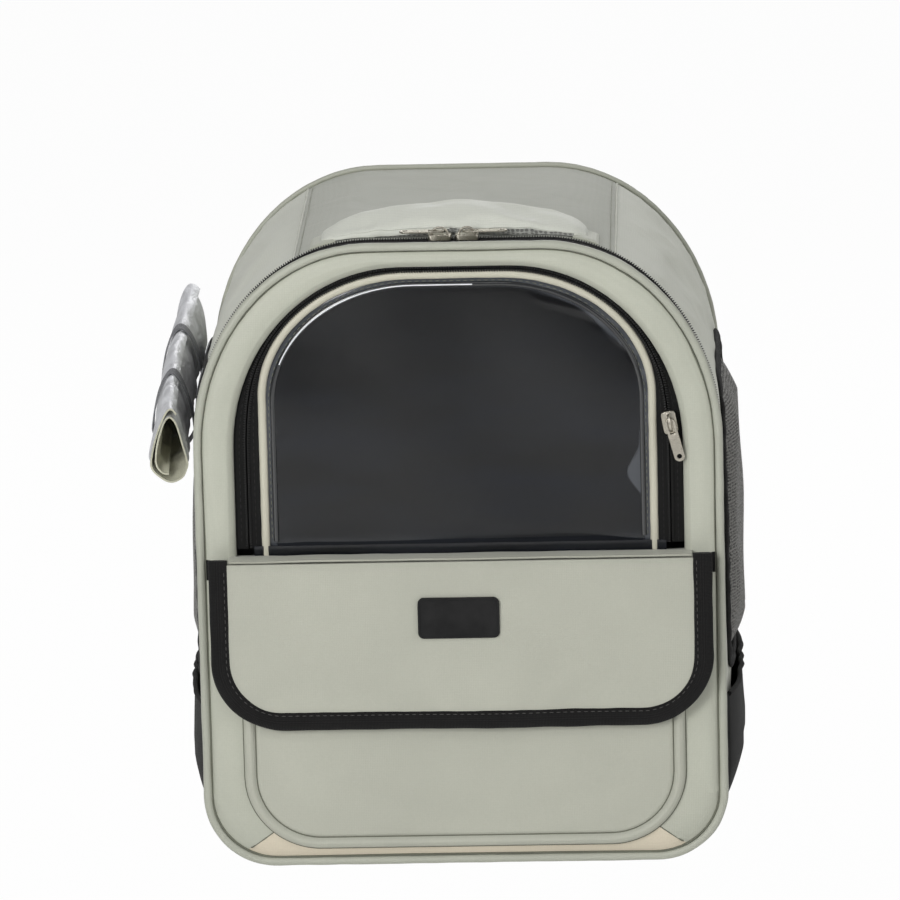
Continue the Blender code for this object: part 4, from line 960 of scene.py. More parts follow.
class BASKET_OT_window(bpy.types.Operator):
    """Window leaf: covered cord, clear sheet and the strip of the sheet that it folds on"""

    bl_idname = "basket.window"
    bl_label = "Window"

    def execute(self, context):
        sizes = context.scene.basket_sizes
        low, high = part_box("window_trim")
        pane_low, pane_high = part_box("window_pane")
        radius = 0.0026
        outline = even_points(
            arch(high[0] - radius, low[2] - 0.0045, high[2] - radius, trim_crown(radius), steps=30),
            300,
        )
        line = upright(outline, low[1] + radius * 0.9)
        bm = tube(line, radius, sides=12, flat=0.9, uneven=0.0002, scale=110.0)
        piece("window_trim_cord", bm, "trim cloth", "window_door", "piping", ("window_trim",))
        inner = [
            Vector((x * (1 - 0.0042 / high[0]), z - 0.004 * (z > 0.28)))
            for x, z in outline if z > low[2] + 0.004
        ]
        piece(
            "window_trim_stitches",
            stitches(sizes, upright(inner, low[1] + 0.0026), thread=0.0005),
            "seam thread", "window_door", "piping",
        )
        side, _, top = pane_high
        base = low[2] + 0.0002
        count, crown, hem_width = 200, trim_crown(0.002), 0.0070
        rim = even_points(arch(side, base, top, crown), count)
        foot = even_points([(side, base), (-side, base)], count)
        depth = (pane_low[1] + pane_high[1]) / 2

        def flat_spot(u, v):
            index = round(u * count)
            return foot[index].lerp(rim[index], v)

        def place(u, v):
            spot = flat_spot(u, v)
            edge = max(1 - (1 - v) / 0.10, 0.0)
            wave = lumpy((spot.x, 0, spot.y), 11.0, 0.0022)
            pucker = 0.0009 * math.sin(spot.y * 420 + spot.x * 90) * edge * (spot.x > 0.05)
            hold = min(v / 0.06, 1.0) * min((1 - v) / 0.03, 1.0)
            return (spot.x, depth - 0.0012 * hold + (wave + pucker) * hold, spot.y)

        def edge_shade_and_glint(u, v):
            """Painted reflection: the paler hem, whose inner edge wanders, and a paler strip along
            the sheet's foot.
            """
            spot = flat_spot(u, v)
            over, under = abs(spot.x) - side + crown[0], spot.y - top + crown[1]
            reach = min(side - abs(spot.x), top - spot.y)
            if over > 0 and under > 0:
                near = math.hypot(over / crown[0], under / crown[1])
                reach = (1 - near) / max(near, 0.01) * math.hypot(over, under)
            margin = hem_width
            if spot.x > 0.03:
                margin += 0.0055 * bell(spot.y, 0.347, 0.016)
                margin += 0.0090 * bell(spot.y, 0.252, 0.014)
                margin += 0.0012 * math.sin(spot.y * 210)
            else:
                margin -= 0.0012 * math.sin(spot.y * 150)
            near = held((margin - reach) / 0.0012 + 0.5)
            return max(near, 0.35 * max(1 - (spot.y - base) / 0.007, 0.0))

        bm = sheet(count, 90, place, (0.6, 0.2), edge_shade_and_glint)
        bmesh.ops.remove_doubles(bm, verts=bm.verts, dist=WELD)
        piece("window_sheet", thickened(bm, 0.0006), "clear window sheet", "window_door",
              "clear_sheet", ("window_pane",))
        # A welded bead, wide and flat, holds the sheet's dark middle off its hem.
        inset = hem_width
        bead = arch(side - inset, base + 0.004, top - inset, trim_crown(inset), steps=30)
        line = upright(even_points(bead, 260), depth - 0.0014)
        piece("window_sheet_bead",
              tube(line, 0.0016, sides=12, flat=0.7, uneven=0.0001, scale=60.0),
              "welded clear bead", "window_door", "clear_sheet")
        # A painted highlight: a thin pale line along the bead's upper left, where the bent sheet
        # catches the light.
        white = [
            point + Vector((0, -0.0012, 0))
            for point in line if point.x < 0.012 and point.z > 0.322
        ]
        piece("window_painted_highlight", tube(white, 0.0004, sides=8, scale=60.0), "whitened weld",
              "window_door", "clear_sheet")
        tape_low, tape_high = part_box("window_hinge_tape")
        wide = tape_high[0] - 0.0110

        def strip(u, v):
            x = between(-wide, wide, u)
            return (x, tape_low[1] + 0.0004 + lumpy((x, 0, 0), 30.0, 0.0004),
                    between(tape_low[2], tape_high[2] + 0.002, v))

        bm = thickened(sheet(80, 5, strip, (2 * wide, 0.008)), 0.0012)
        piece("window_fold_tape", bm, "clear window sheet", "front_door", "black_tape",
              ("window_hinge_tape",))
        return {"FINISHED"}


def foot_height(x, side, bottom, foot):
    """Height of a pocket's lower edge at a distance from its middle."""
    over = abs(x) - (side - foot)
    return bottom + (foot - math.sqrt(max(foot**2 - over**2, 0.0)) if over > 0 else 0.0)


def hem_distance(x, z, side, bottom, foot):
    """Distance of a point from a pocket's sewn edge."""
    over, under = abs(x) - (side - foot), bottom + foot - z
    if over > 0 and under > 0:
        return foot - math.hypot(over, under)
    return min(side - abs(x), z - bottom)


def pocket_sheet(side, top, bottom, foot, columns, rows, depth, edge_shade_and_glint, edge_rows=False):
    """A cloth panel with a straight top and two round lower corners; depth gives its face."""

    def spot(u, v):
        x = side * math.sin(math.pi / 2 * (2 * u - 1))
        share = 1 - (1 - v) ** 2 if edge_rows else v
        return x, top + (foot_height(x, side, bottom, foot) - top) * share

    def place(u, v):
        x, z = spot(u, v)
        return (x, depth(x, z), z)

    return sheet(
        columns, rows, place, (2 * side, top - bottom), lambda u, v: edge_shade_and_glint(*spot(u, v))
    )


def laid_on(depth, line, count, lift):
    """Even points of a line in X-Z, laid on a face and lifted off it."""
    return [Vector((x, depth(x, z) - lift, z)) for x, z in even_points(line, count)]


def pocket_depth(x, z):
    """Front face of the pocket: a rounded gusset, a sewn ridge and a slack middle."""
    reach = hem_distance(x, z, POCKET_SIDE, POCKET_LOW[2], POCKET_FOOT)
    full = RING_LINE - POCKET_LOW[1] - 0.0012
    lift = (full - 0.0010) * circle(1 - held(reach / 0.0026))
    ridge = 0.0014 * bell(reach, 0.0046, 0.0021)
    groove = 0.0013 * bell(reach, POCKET_SEAM, 0.0011)
    slack = 0.0010 * held((reach - 0.012) / 0.03)
    slack += lumpy((x, 0, z), 13.0, 0.0008, 3.0) * held(reach / 0.02)
    return RING_LINE - 0.0003 - lift - ridge + groove - slack


class BASKET_OT_pocket(bpy.types.Operator):
    """Low front pocket with its gusset and doubled seam"""

    bl_idname = "basket.pocket"
    bl_label = "Front pocket"

    def execute(self, context):
        # Painted shade: darker in the sewn groove and along the pocket's edge.
        def edge_shade_and_glint(x, z):
            reach = hem_distance(x, z, POCKET_SIDE, POCKET_LOW[2], POCKET_FOOT)
            return max(1 - abs(reach - POCKET_SEAM) / 0.0016, 1 - reach / 0.0016, 0.0)

        bm = pocket_sheet(
            POCKET_SIDE, POCKET_HIGH[2], POCKET_LOW[2], POCKET_FOOT, 150, 110, pocket_depth,
            edge_shade_and_glint, edge_rows=True,
        )
        piece("front_pocket", thickened(bm, 0.0011), "flap oxford cloth", "front_door", "cloth",
              ("pocket_front",))
        # The two dark lines, in the seam shadow finish, are painted shade along the pocket's edge and
        # in its sewn groove.
        for name, reach, thread in (("outer", 0.0004, 0.0005), ("inner", POCKET_SEAM, 0.00045)):
            line = pouch(
                POCKET_SIDE - reach, POCKET_LOW[2] + reach, POCKET_HIGH[2], POCKET_FOOT - reach
            )
            spots = laid_on(pocket_depth, line, 300, 0.0001)
            piece(f"pocket_seam_shadow_{name}", tube(spots, thread), "seam thread", "front_door", "cloth")
        hem = [
            Vector((x, pocket_depth(x, POCKET_HIGH[2]) + 0.0004, POCKET_HIGH[2] - 0.0008))
            for x, _ in even_points([(-POCKET_SIDE + 0.001, 0), (POCKET_SIDE - 0.001, 0)], 120)
        ]
        piece("pocket_hem", tube(hem, 0.0011, sides=8), "flap oxford cloth", "front_door",
              "cloth")
        return {"FINISHED"}


def flap_depth(x, z):
    """Front face of the flap, which hangs a little unevenly over the pocket."""
    low, high = FLAP_LOW[2], FLAP_HIGH[2]
    down = (high - z) / (high - low)
    belly = 0.0010 * math.sin(math.pi * held(down))
    wave = 0.0009 * math.sin(x * 31 + 1.1) * down + 0.0005 * math.sin(x * 67) * down * down
    return FLAP_FACE - belly - wave + lumpy((x, 0, z), 15.0, 0.0007, 8.0)


class BASKET_OT_flap(bpy.types.Operator):
    """Pocket flap with its bound edge, bare patch and the fold that it hangs from"""

    bl_idname = "basket.flap"
    bl_label = "Pocket flap"

    def execute(self, context):
        sizes = context.scene.basket_sizes
        side, low, top = FLAP_HIGH[0], FLAP_LOW[2], FLAP_HIGH[2]
        # The cloth ends a little inside the binding that runs round it.
        inset = 0.009

        # Painted shade: darker along the binding and under the fold at the top.
        def edge_shade_and_glint(x, z):
            reach = hem_distance(x, z, side - inset, low + inset, FLAP_FOOT - inset)
            return max(1 - reach / 0.006, 0.0) + max(1 - (top - z) / 0.006, 0.0)

        bm = pocket_sheet(
            side - inset, top - 0.0004, low + inset, FLAP_FOOT - inset, 130, 70, flap_depth, edge_shade_and_glint
        )
        cloth = piece("flap_cloth", thickened(bm, 0.0016), "flap oxford cloth", "pocket_flap",
                      "cloth", ("flap_panel",))
        half = 0.006
        middle = pouch(side - half, low + half, top + 0.0025, FLAP_FOOT - half, steps=26)
        count = 340
        line = even_points(middle, count)
        frames = frames_along(upright(line, 0.0), False, Y_AXIS)

        def edge(u, v):
            index = round(u * count)
            x, z = line[index]
            across = frames[index][1]
            turn = 2 * math.pi * v
            wide, thick = squared(math.cos(turn), 0.7), squared(math.sin(turn), 0.8)
            reach = half + lumpy((x, 0, z), 55.0, 0.0004, 2.0)
            swell = 0.0021 + lumpy((x * 3, v, z * 3), 60.0, 0.0003, 5.0)
            spot = Vector((x, 0, z)) + across * wide * reach
            # The two edges turn in where the stitches pull them onto the cloth.
            pull = 0.0004 * bell(wide, -0.62, 0.12)
            return (spot.x, flap_depth(x, z) + 0.0008 - thick * (swell - pull), spot.z)

        bm = ends_filled(closed_up(sheet(count, 22, edge, (0.47, 0.027))))
        piece("flap_edge_binding", bm, "black grosgrain", "pocket_flap", "black_tape",
              ("flap_binding",))
        inset = 0.0098
        sewn = pouch(side - inset, low + inset, top - 0.001, FLAP_FOOT - inset, steps=26)
        spots = laid_on(flap_depth, sewn, count, 0.0011)
        piece("flap_stitches", stitches(sizes, spots, thread=0.0006), "grey thread",
              "pocket_flap", "black_tape")
        self.patch()
        fold = FLAP_HIGH[0] - 0.0125
        back = RING_LINE + 0.0008

        def rolled(u, v):
            x = between(-fold, fold, u)
            turn = math.pi * 0.5 * v
            return (
                x, between(flap_depth(x, top) + 0.0022, back, math.sin(turn)),
                top - 0.0020 + 0.0028 * math.cos(turn - 0.6)
                + lumpy((x, v, 0), 28.0, 0.0005, 4.0),
            )

        bm = thickened(sheet(110, 8, rolled, (2 * fold, 0.016)), 0.0012)
        # The flap hangs from this strip.
        hanger = piece("flap_fold", bm, "flap oxford cloth", None, "cloth")
        flap_depth(0, top) + 0.0028
        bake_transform(hanger)
        return {"FINISHED"}

    def patch(self):
        """Bare moulded patch: rounded corners, a raised rim and a sunk middle."""
        shift = Vector((-0.0015, 0, 0.004))
        low, high = (Vector(corner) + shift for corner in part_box("flap_patch"))
        seat = flap_depth(0, (low.z + high.z) / 2)
        low.y, high.y = seat - 0.0018, seat + 0.0009
        bm = bmesh.new()
        bmesh.ops.create_cube(bm, size=1.0)
        size = [high[axis] - low[axis] for axis in range(3)]
        centre = Vector([(high[axis] + low[axis]) / 2 for axis in range(3)])
        bm.transform(Matrix.Translation(centre) @ Matrix.Diagonal((*size, 1)))
        upright_edges = [
            e for e in bm.edges if abs(e.verts[0].co.y - e.verts[1].co.y) > size[1] / 2
        ]
        bmesh.ops.bevel(
            bm, geom=upright_edges, offset=0.0038, segments=8, profile=0.5, affect="EDGES",
            material=-1,
        )
        face = min(bm.faces, key=lambda f: f.calc_center_median().y)
        bmesh.ops.inset_region(bm, faces=[face], thickness=0.0012, depth=0.0)
        bmesh.ops.inset_region(bm, faces=[face], thickness=0.0005, depth=-0.0006)
        sharp = [
            e for e in bm.edges if e.is_manifold and e.calc_face_angle() > math.radians(35)
        ]
        bmesh.ops.bevel(
            bm, geom=sharp, offset=0.0003, segments=2, profile=0.5, affect="EDGES", material=-1
        )
        piece("bare_patch", closed_up(bm), "moulded rubber", "pocket_flap", "black_tape",
              ("flap_patch",))


def shell_curves(sizes):
    """The shell's crown as width and height, and the radius of its foot."""
    inset = HALF_WIDTH - SIDE_LINE
    return sizes.crown_width - inset, sizes.crown_height - inset, sizes.foot_radius - inset


def crown_height(sizes, x):
    """Height of the shell's outer face over a distance from its middle."""
    wide, high, _ = shell_curves(sizes)
    over = max(abs(x) - (SIDE_LINE - wide), 0.0)
    return ROOF - high + high * circle(over / wide)


def side_line(sizes):
    """The side wall's section from the top seam down to the base seam."""
    wide, high, foot = shell_curves(sizes)
    start = math.degrees(math.acos((sizes.top_seam - (SIDE_LINE - wide)) / wide))
    points = arc(SIDE_LINE - wide, ROOF - high, wide, high, start, 0, 30)
    points += arc(SIDE_LINE - foot, foot, foot, foot, 0, -90, 16)
    return even_points(points, 200)


def bulge(sizes, y, z):
    """How far a side wall stands out at a depth and a height."""
    share = (y - SHELL_FRONT) / (SHELL_BACK - SHELL_FRONT)
    up = math.sin(math.pi * held((z + 0.060) / 0.380))
    return sizes.side_bulge * 4 * share * (1 - share) * up


def wall_x(sizes, y, z):
    """Outer face of the right side wall at a depth and a height."""
    wide, high, foot = shell_curves(sizes)
    x = SIDE_LINE
    if z > ROOF - high:
        x = SIDE_LINE - wide + wide * circle((z - ROOF + high) / high)
    if z < foot:
        x = SIDE_LINE - foot + math.sqrt(max(foot**2 - (foot - z) ** 2, 0.0))
    return x + bulge(sizes, y, z)


def wall_wrinkle(y, z, sign):
    """Creases of the slack walls: long ones off the front corners, short ones by the window."""
    share = (y - SHELL_FRONT) / (SHELL_BACK - SHELL_FRONT)
    seam_share = 0.05
    hold = min(share / seam_share, (1 - share) / seam_share, 1.0)
    corner = held((z - 0.25) / 0.12)
    ridge = 0.30 - abs(noise_at(y * 15 + z * 9, z * 30, sign * 3.0))
    long = ridge * 0.0075 * corner
    short = noise_at(y * 30, z * 22, sign * 7.0) * 0.0011
    return (long + short) * max(hold, 0.0)


class BASKET_OT_shell(bpy.types.Operator):
    """Side walls, top, base and padded rear of the basket"""

    bl_idname = "basket.shell"
    bl_label = "Shell"

    def execute(self, context):
        sizes = context.scene.basket_sizes
        path = side_line(sizes)
        count = len(path) - 1
        reach = line_length(path)
        top_share, low_share = (
            min(range(count), key=lambda index: abs(path[index].y - height)) / count
            for height in (NET_TOP, NET_LOW)
        )
        middle = ((NET_FRONT + NET_BACK) / 2, (top_share + low_share) / 2 * reach)
        half = ((NET_BACK - NET_FRONT) / 2, (low_share - top_share) / 2 * reach)
        corners = [
            math.atan2(s * reach - middle[1], y - middle[0])
            for y in (SHELL_FRONT, SHELL_BACK) for s in (0, 1)
        ]
        turns = sorted([2 * math.pi * step / 168 - math.pi for step in range(168)] + corners)
        steps = len(turns)

        def ray(turn, box_low, box_high, radius):
            """Where a line from the window's middle meets a rounded box."""
            cy, cs = math.cos(turn), math.sin(turn)
            lengths = []
            if abs(cy) > 1e-9:
                lengths.append(((box_high[0] if cy > 0 else box_low[0]) - middle[0]) / cy)
            if abs(cs) > 1e-9:
                lengths.append(((box_high[1] if cs > 0 else box_low[1]) - middle[1]) / cs)
            far = min(lengths)
            y, s = middle[0] + cy * far, middle[1] + cs * far
            if radius:
                corner_y = (box_high[0] - radius) if cy > 0 else (box_low[0] + radius)
                corner_s = (box_high[1] - radius) if cs > 0 else (box_low[1] + radius)
                for _ in range(12):
                    over, under = (y - corner_y) * cy, (s - corner_s) * cs
                    if over <= 0 or under <= 0:
                        break
                    gap = math.hypot(y - corner_y, s - corner_s) - radius
                    if gap < 1e-5:
                        break
                    y, s = y - cy * gap, s - cs * gap
            return y, s

        outer = [ray(turn, (SHELL_FRONT, 0), (SHELL_BACK, reach), 0) for turn in turns]
        inner = [
            ray(turn, (NET_FRONT - 0.001, middle[1] - half[1] - 0.001),
                (NET_BACK + 0.001, middle[1] + half[1] + 0.001), NET_RADIUS)
            for turn in turns
        ]
        seam = crown_height(sizes, sizes.top_seam)
        for side, sign in SIDES:
            def place(u, v, sign=sign):
                index = round(u * steps) % steps
                y, s = (between(start, end, v) for start, end in zip(outer[index], inner[index]))
                at = held(s / reach) * count
                first = min(int(at), count - 1)
                x, z = path[first].lerp(path[first + 1], at - first)
                # The creases die out towards the seam with the top.
                slack = held((seam - z) / 0.014)
                out = bulge(sizes, y, z) + wall_wrinkle(y, z, sign) * slack
                return (sign * (x + out), y, z)

            # Painted shade: darker along the wall's outer seams and round the window's binding.
            def edge_shade_and_glint(u, v):
                return max(1 - v / 0.12, 0.0) * 0.8 + max(1 - (1 - v) / 0.1, 0.0) * 0.6

            bm = closed_up(sheet(steps, 26, place, (0.9, 0.1), edge_shade_and_glint))
            side_turned(bm, lambda normal, sign=sign: (normal.x > 0) == (sign > 0))
            bmesh.ops.solidify(bm, geom=bm.faces[:], thickness=SHELL_CLOTH)
            closed_up(bm)
            dark_faces(
                bm, lambda c, n, sign=sign: n.x * sign < -0.05 or (n.z < -0.3 and c.z > 0.06)
            )
            piece(f"{side}_wall", bm, ("wall oxford cloth", "cabin lining"), "carrier", "cloth",
                  (f"{side}_side_panel",))
        self.top(sizes)
        self.rear(sizes)
        return {"FINISHED"}

    def top(self, sizes):
        """Slack top with the seams and stitches along its two sides."""
        edge, sewn_in = sizes.top_seam + 0.0002, 0.0032
        span = SHELL_BACK - SHELL_FRONT

        def place(u, v):
            x, y = between(-edge, edge, u), between(SHELL_FRONT, SHELL_BACK, v)
            hold = math.sin(math.pi * v) * math.cos(math.pi / 2 * x / edge) ** 0.5
            sag = -0.0022 * hold
            crease = noise_at(x * 11, y * 19, 4.0) * 0.0012 * hold
            crease += noise_at(x * 42, y * 16, 9.0) * 0.0007 * min(v / 0.06, 1.0)
            return (x, y, crown_height(sizes, x) + sag + crease - 0.0002)

        # Painted shade: darker along the top's four edges.
        def edge_shade_and_glint(u, v):
            return max(1 - min(u, 1 - u) / 0.03, 1 - min(v, 1 - v) / 0.05, 0.0)

        bm = sheet(110, 90, place, (2 * edge, span), edge_shade_and_glint)
        bmesh.ops.recalc_face_normals(bm, faces=bm.faces)
        side_turned(bm, lambda normal: normal.z >= 0)
        bmesh.ops.solidify(bm, geom=bm.faces[:], thickness=SHELL_CLOTH)
        closed_up(bm)
        dark_faces(bm, lambda c, n: n.z < -0.2)
        piece("top_cloth", bm, ("top oxford cloth", "cabin lining"), "carrier", "cloth",
              ("top_panel",))
        for side, sign in SIDES:
            line = [Vector((sign * edge, SHELL_FRONT + span * step / 80, 0)) for step in range(81)]
            for point in line:
                point.z = crown_height(sizes, edge) - 0.0004
                point.x += sign * bulge(sizes, point.y, point.z) * 0.5
            piece(f"top_seam_{side}", tube(line, 0.0009, sides=8, up=Z_AXIS, uneven=0.0002),
                  "grey oxford cloth", "carrier", "cloth")
            offset = [
                Vector((point.x - sign * sewn_in, point.y, crown_height(sizes, edge - sewn_in)))
                for point in line
            ]
            piece(f"top_seam_stitches_{side}",
                  stitches(sizes, offset, up=Z_AXIS, thread=0.0006), "pale thread",
                  "carrier", "cloth")

    def rear(self, sizes):
        """Padded rear panel: a soft front and back round its board."""
        inset = HALF_WIDTH - REAR_HIGH[0]
        plate_height, plate_reach, stitch_inset = 0.312, 0.09, 0.022
        count = 240
        outline = even_points(body_outline(sizes, inset), count, closed=True)
        centre = Vector((0, BODY_HEIGHT / 2))

        def place(u, v):
            edge = outline[round(u * count) % count]
            fold = 2 * v - 1
            share = 1 - abs(fold)
            spot = edge.lerp(centre, share)
            depth = (spot - edge).length
            round_off = 0.0035 * (1 - circle(1 - min(depth / 0.006, 1.0)))
            if fold < 0:
                return (spot.x, REAR_LOW[1] + round_off, spot.y)
            soft = lumpy((spot.x, 1, spot.y), 12.0, 0.0008) * min(depth / 0.03, 1.0)
            # The cloth lies flat where the plate is screwed on.
            slack = min(abs(spot.y - plate_height) / plate_reach, 1.0)
            return (spot.x, REAR_HIGH[1] - round_off - abs(soft) * slack, spot.y)

        # Painted shade: darker along the edge of the rear face.
        def edge_shade_and_glint(u, v):
            return max(1 - (1 - abs(2 * v - 1)) / 0.08, 0.0) * (v > 0.5)

        bm = closed_up(sheet(count, 80, place, (1.3, 0.4), edge_shade_and_glint))
        dark_faces(bm, lambda c, n: n.y < -0.5)
        padded = piece("rear_padding", bm, ("grey oxford cloth", "cabin lining"), "carrier",
                       "cloth", ("rear_panel",))
        line = upright(
            even_points(body_outline(sizes, inset + stitch_inset), 360, closed=True),
            REAR_HIGH[1] + 0.0001,
        )
        piece("rear_stitches", stitches(sizes, line, closed=True), "pale thread", "carrier",
              "cloth")


class BASKET_OT_side_windows(bpy.types.Operator):
    """Mesh windows with their gathered bindings, and the low black pockets under them"""

    bl_idname = "basket.side_windows"
    bl_label = "Side windows"

    def execute(self, context):
        sizes = context.scene.basket_sizes
        lap, border = 0.004, 0.07
        y0, y1 = NET_FRONT - lap, NET_BACK + lap
        z0, z1 = NET_LOW - lap, NET_TOP + lap
        radius = NET_RADIUS + lap
        half, count = 0.0040, 320
        box = rounded_box((NET_FRONT, NET_LOW), (NET_BACK, NET_TOP), NET_RADIUS, -90, 9)
        flat = [Vector((0, y, z)) for y, z in even_points(box, count, closed=True)]
        frames = frames_along(flat, True, Vector((1, 0, 0)))
        for side, sign, pouch_reach in (("left", -1, 0.004), ("right", 1, 0.0085)):
            def net(u, v, sign=sign, pouch_reach=pouch_reach):
                y, z = between(y0, y1, u), between(z0, z1, v)
                across, up = (held((part - border) / (1 - 2 * border)) for part in (u, v))
                full = min(1.7 * (4 * across * (1 - across) * 4 * up * (1 - up)) ** 0.5, 1.0)
                folds = noise_at(y * 24, z * 13, sign * 5.0) * 0.0026
                folds += noise_at(y * 60, z * 22, sign * 9.0) * 0.0008
                stand = -0.0030 + (pouch_reach + 0.003) * full + folds * full
                return (sign * (wall_x(sizes, y, z) + stand), y, z)

            def tight(u, v):
                return max(1 - min(u, 1 - u, v, 1 - v) / 0.06, 0.0)

            bm = sheet(90, 96, net, (y1 - y0, z1 - z0), tight)
            spare = []
            for vertex in bm.verts:
                over = abs(vertex.co.y - (y0 + y1) / 2) - ((y1 - y0) / 2 - radius)
                under = abs(vertex.co.z - (z0 + z1) / 2) - ((z1 - z0) / 2 - radius)
                if over > 0 and under > 0 and math.hypot(over, under) > radius:
                    spare.append(vertex)
            bmesh.ops.delete(bm, geom=spare, context="VERTS")
            piece(f"{side}_net", thickened(bm, 0.0005), "knitted side mesh", "carrier",
                  "grey_mesh", (f"{side}_mesh",))

            def hem(u, v, sign=sign):
                index = round(u * count) % count
                turn = 2 * math.pi * v
                across = frames[index][1]
                spot = flat[index] + across * (half * math.cos(turn) - 0.0015)
                gather = 0.0007 * noise_at(index * 0.16, math.cos(turn), sign * 2)
                gather += 0.0002 * math.sin(index * 0.9)
                out = 0.0014 + 0.0017 * math.sin(turn) + gather * max(math.sin(turn), 0.0)
                return (sign * (wall_x(sizes, spot.y, spot.z) + out), spot.y, spot.z)

            bm = closed_up(sheet(count, 14, hem, (0.7, 0.02)))
            piece(f"{side}_net_binding", bm, "black grosgrain", "carrier", "black_tape",
                  (f"{side}_window_binding",))
            low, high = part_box(f"{side}_side_pocket")

            def pocket(u, v, sign=sign, low=low, high=high):
                y, z = between(low[1], high[1], u), between(low[2], high[2], v)
                rise = min(math.sqrt(4 * u * (1 - u)) * 1.15, 1.0) * min(v / 0.4, 1.0)
                draw = max((v - 0.55) / 0.45, 0.0)
                gather = 0.0005 * math.sin(y * 190 + 2 * math.sin(y * 60)) * draw
                folds = noise_at(y * 28, z * 20, sign * 4.0) * 0.0012
                stand = 0.0008 + (0.0078 - 0.0022 * draw + gather + folds) * rise
                return (sign * (wall_x(sizes, y, z) + stand), y, z)

            bm = thickened(sheet(130, 44, pocket, (0.19, 0.08)), 0.0010)
            piece(f"{side}_low_pocket", bm, "black pocket cloth", "carrier", "black_tape",
                  (f"{side}_side_pocket",))
            rim = [Vector(pocket(step / 130, 1.0)) for step in range(1, 130)]
            piece(f"{side}_pocket_elastic",
                  tube(rim, 0.0016, sides=8, up=Z_AXIS, uneven=0.0002, scale=120.0),
                  "black grosgrain", "carrier", "black_tape")
        return {"FINISHED"}


class BASKET_OT_cover(bpy.types.Operator):
    """Rolled silver cover beside the left window, and the two bands that tie it"""

    bl_idname = "basket.cover"
    bl_label = "Rolled cover"

    def execute(self, context):
        sizes = context.scene.basket_sizes
        low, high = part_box("cover_roll")
        front, back = low[1], high[1]
        half_wide, half_high = 0.0132, 0.0248
        front_z, back_z = 0.268, 0.302
        clear, tail_top, cut_width = 0.0037, 0.3035, 0.148
        flat = half_high / half_wide
        turns, pitch, cloth = 1.55, 0.0034, 0.0011
        tie_ends = [
            [corner[1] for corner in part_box(node)] for node in ("cover_tie_front", "cover_tie_back")
        ]

        def middle(y):
            z = between(front_z, back_z, (y - front) / (back - front))
            return -(wall_x(sizes, y, z) + clear + half_wide + 0.0005), z

        def section(angle, across, up, y):
            """Offset of the roll's section: a wide round foot, drawn in towards the top."""
            side, point = math.cos(angle), math.sin(angle)
            if point < 0:
                return across * side, across * (1 + point) - up
            pinch = 0.30 * (1 - 0.6 * (y - front) / (back - front))
            return across * side * (1 - pinch * point), (2 * up - across) * point + across - up

        def place(u, v):
            y = between(front, back, u)
            centre_x, centre_z = middle(y)
            turn = turns * v
            angle = 0.35 * math.pi + 2 * math.pi * turn
            squeeze = sum(bell(y, sum(ends) / 2, 0.007) for ends in tie_ends)
            # The open front end gapes.
            gape = 0.0014 * (1 - u) ** 3
            wrinkle = noise_at(y * 62, angle * 0.8, 2.0) * 0.0021
            wrinkle += noise_at(y * 130, angle * 1.6, 6.0) * 0.0008
            across = half_wide - pitch * turn - 0.0016 * squeeze + gape
            up = half_high - pitch * turn * math.sqrt(flat) - 0.0022 * squeeze
            reach = 1 + (wrinkle - 0.0006) / across
            aside, above = section(angle, across * reach, up + wrinkle, y)
            return (centre_x + aside, y, centre_z + above)

        bm = sheet(150, 110, place, (back - front, 0.20))
        bmesh.ops.recalc_face_normals(bm, faces=bm.faces)
        faces = bm.faces[:]
        bmesh.ops.solidify(bm, geom=faces, thickness=cloth)
        outer = set(faces)
        for face in bm.faces:
            face.material_index = 0 if face in outer else 1
        sample = max(outer, key=lambda f: f.calc_center_median().z)
        if sample.normal.z < 0:
            for face in bm.faces:
                face.material_index = 1 - face.material_index
        rolled = piece("rolled_cover", bm, ("silver foil cloth", "cream backing"), "cover",
                       "silver_cloth", ("cover_roll",))
        for name, (y0, y1) in zip(("front", "back"), tie_ends):
            def loop(u, v, y0=y0, y1=y1):
                y = between(y0, y1, v)
                centre_x, centre_z = middle(y)
                angle = 2 * math.pi * u
                lift = 0.0008 + 0.0003 * math.sin(5 * angle + y * 300)
                across, up = half_wide + lift - 0.0004, half_high + lift - 0.0008
                aside, above = section(angle, across, up, y)
                return (centre_x + aside, y, centre_z + above)

            bm = thickened(closed_up(sheet(72, 6, loop, (0.13, 0.008))), 0.0008)
            piece(f"tie_loop_{name}", bm, "grey elastic band", "cover", "black_tape",
                  (f"cover_tie_{name}",))

            def tail(u, v, y0=y0, y1=y1):
                y = between(y0, y1, u)
                z = between(middle(y)[1], tail_top, v)
                wave = 0.0005 * math.sin(math.pi * v)
                return (-(wall_x(sizes, y, z) + 0.0030 + wave), y, z)

            bm = thickened(sheet(6, 16, tail, (0.008, 0.03)), 0.0007)
            piece(f"tie_tail_{name}", bm, "grey elastic band", "cover", "black_tape")
        return {"FINISHED"}


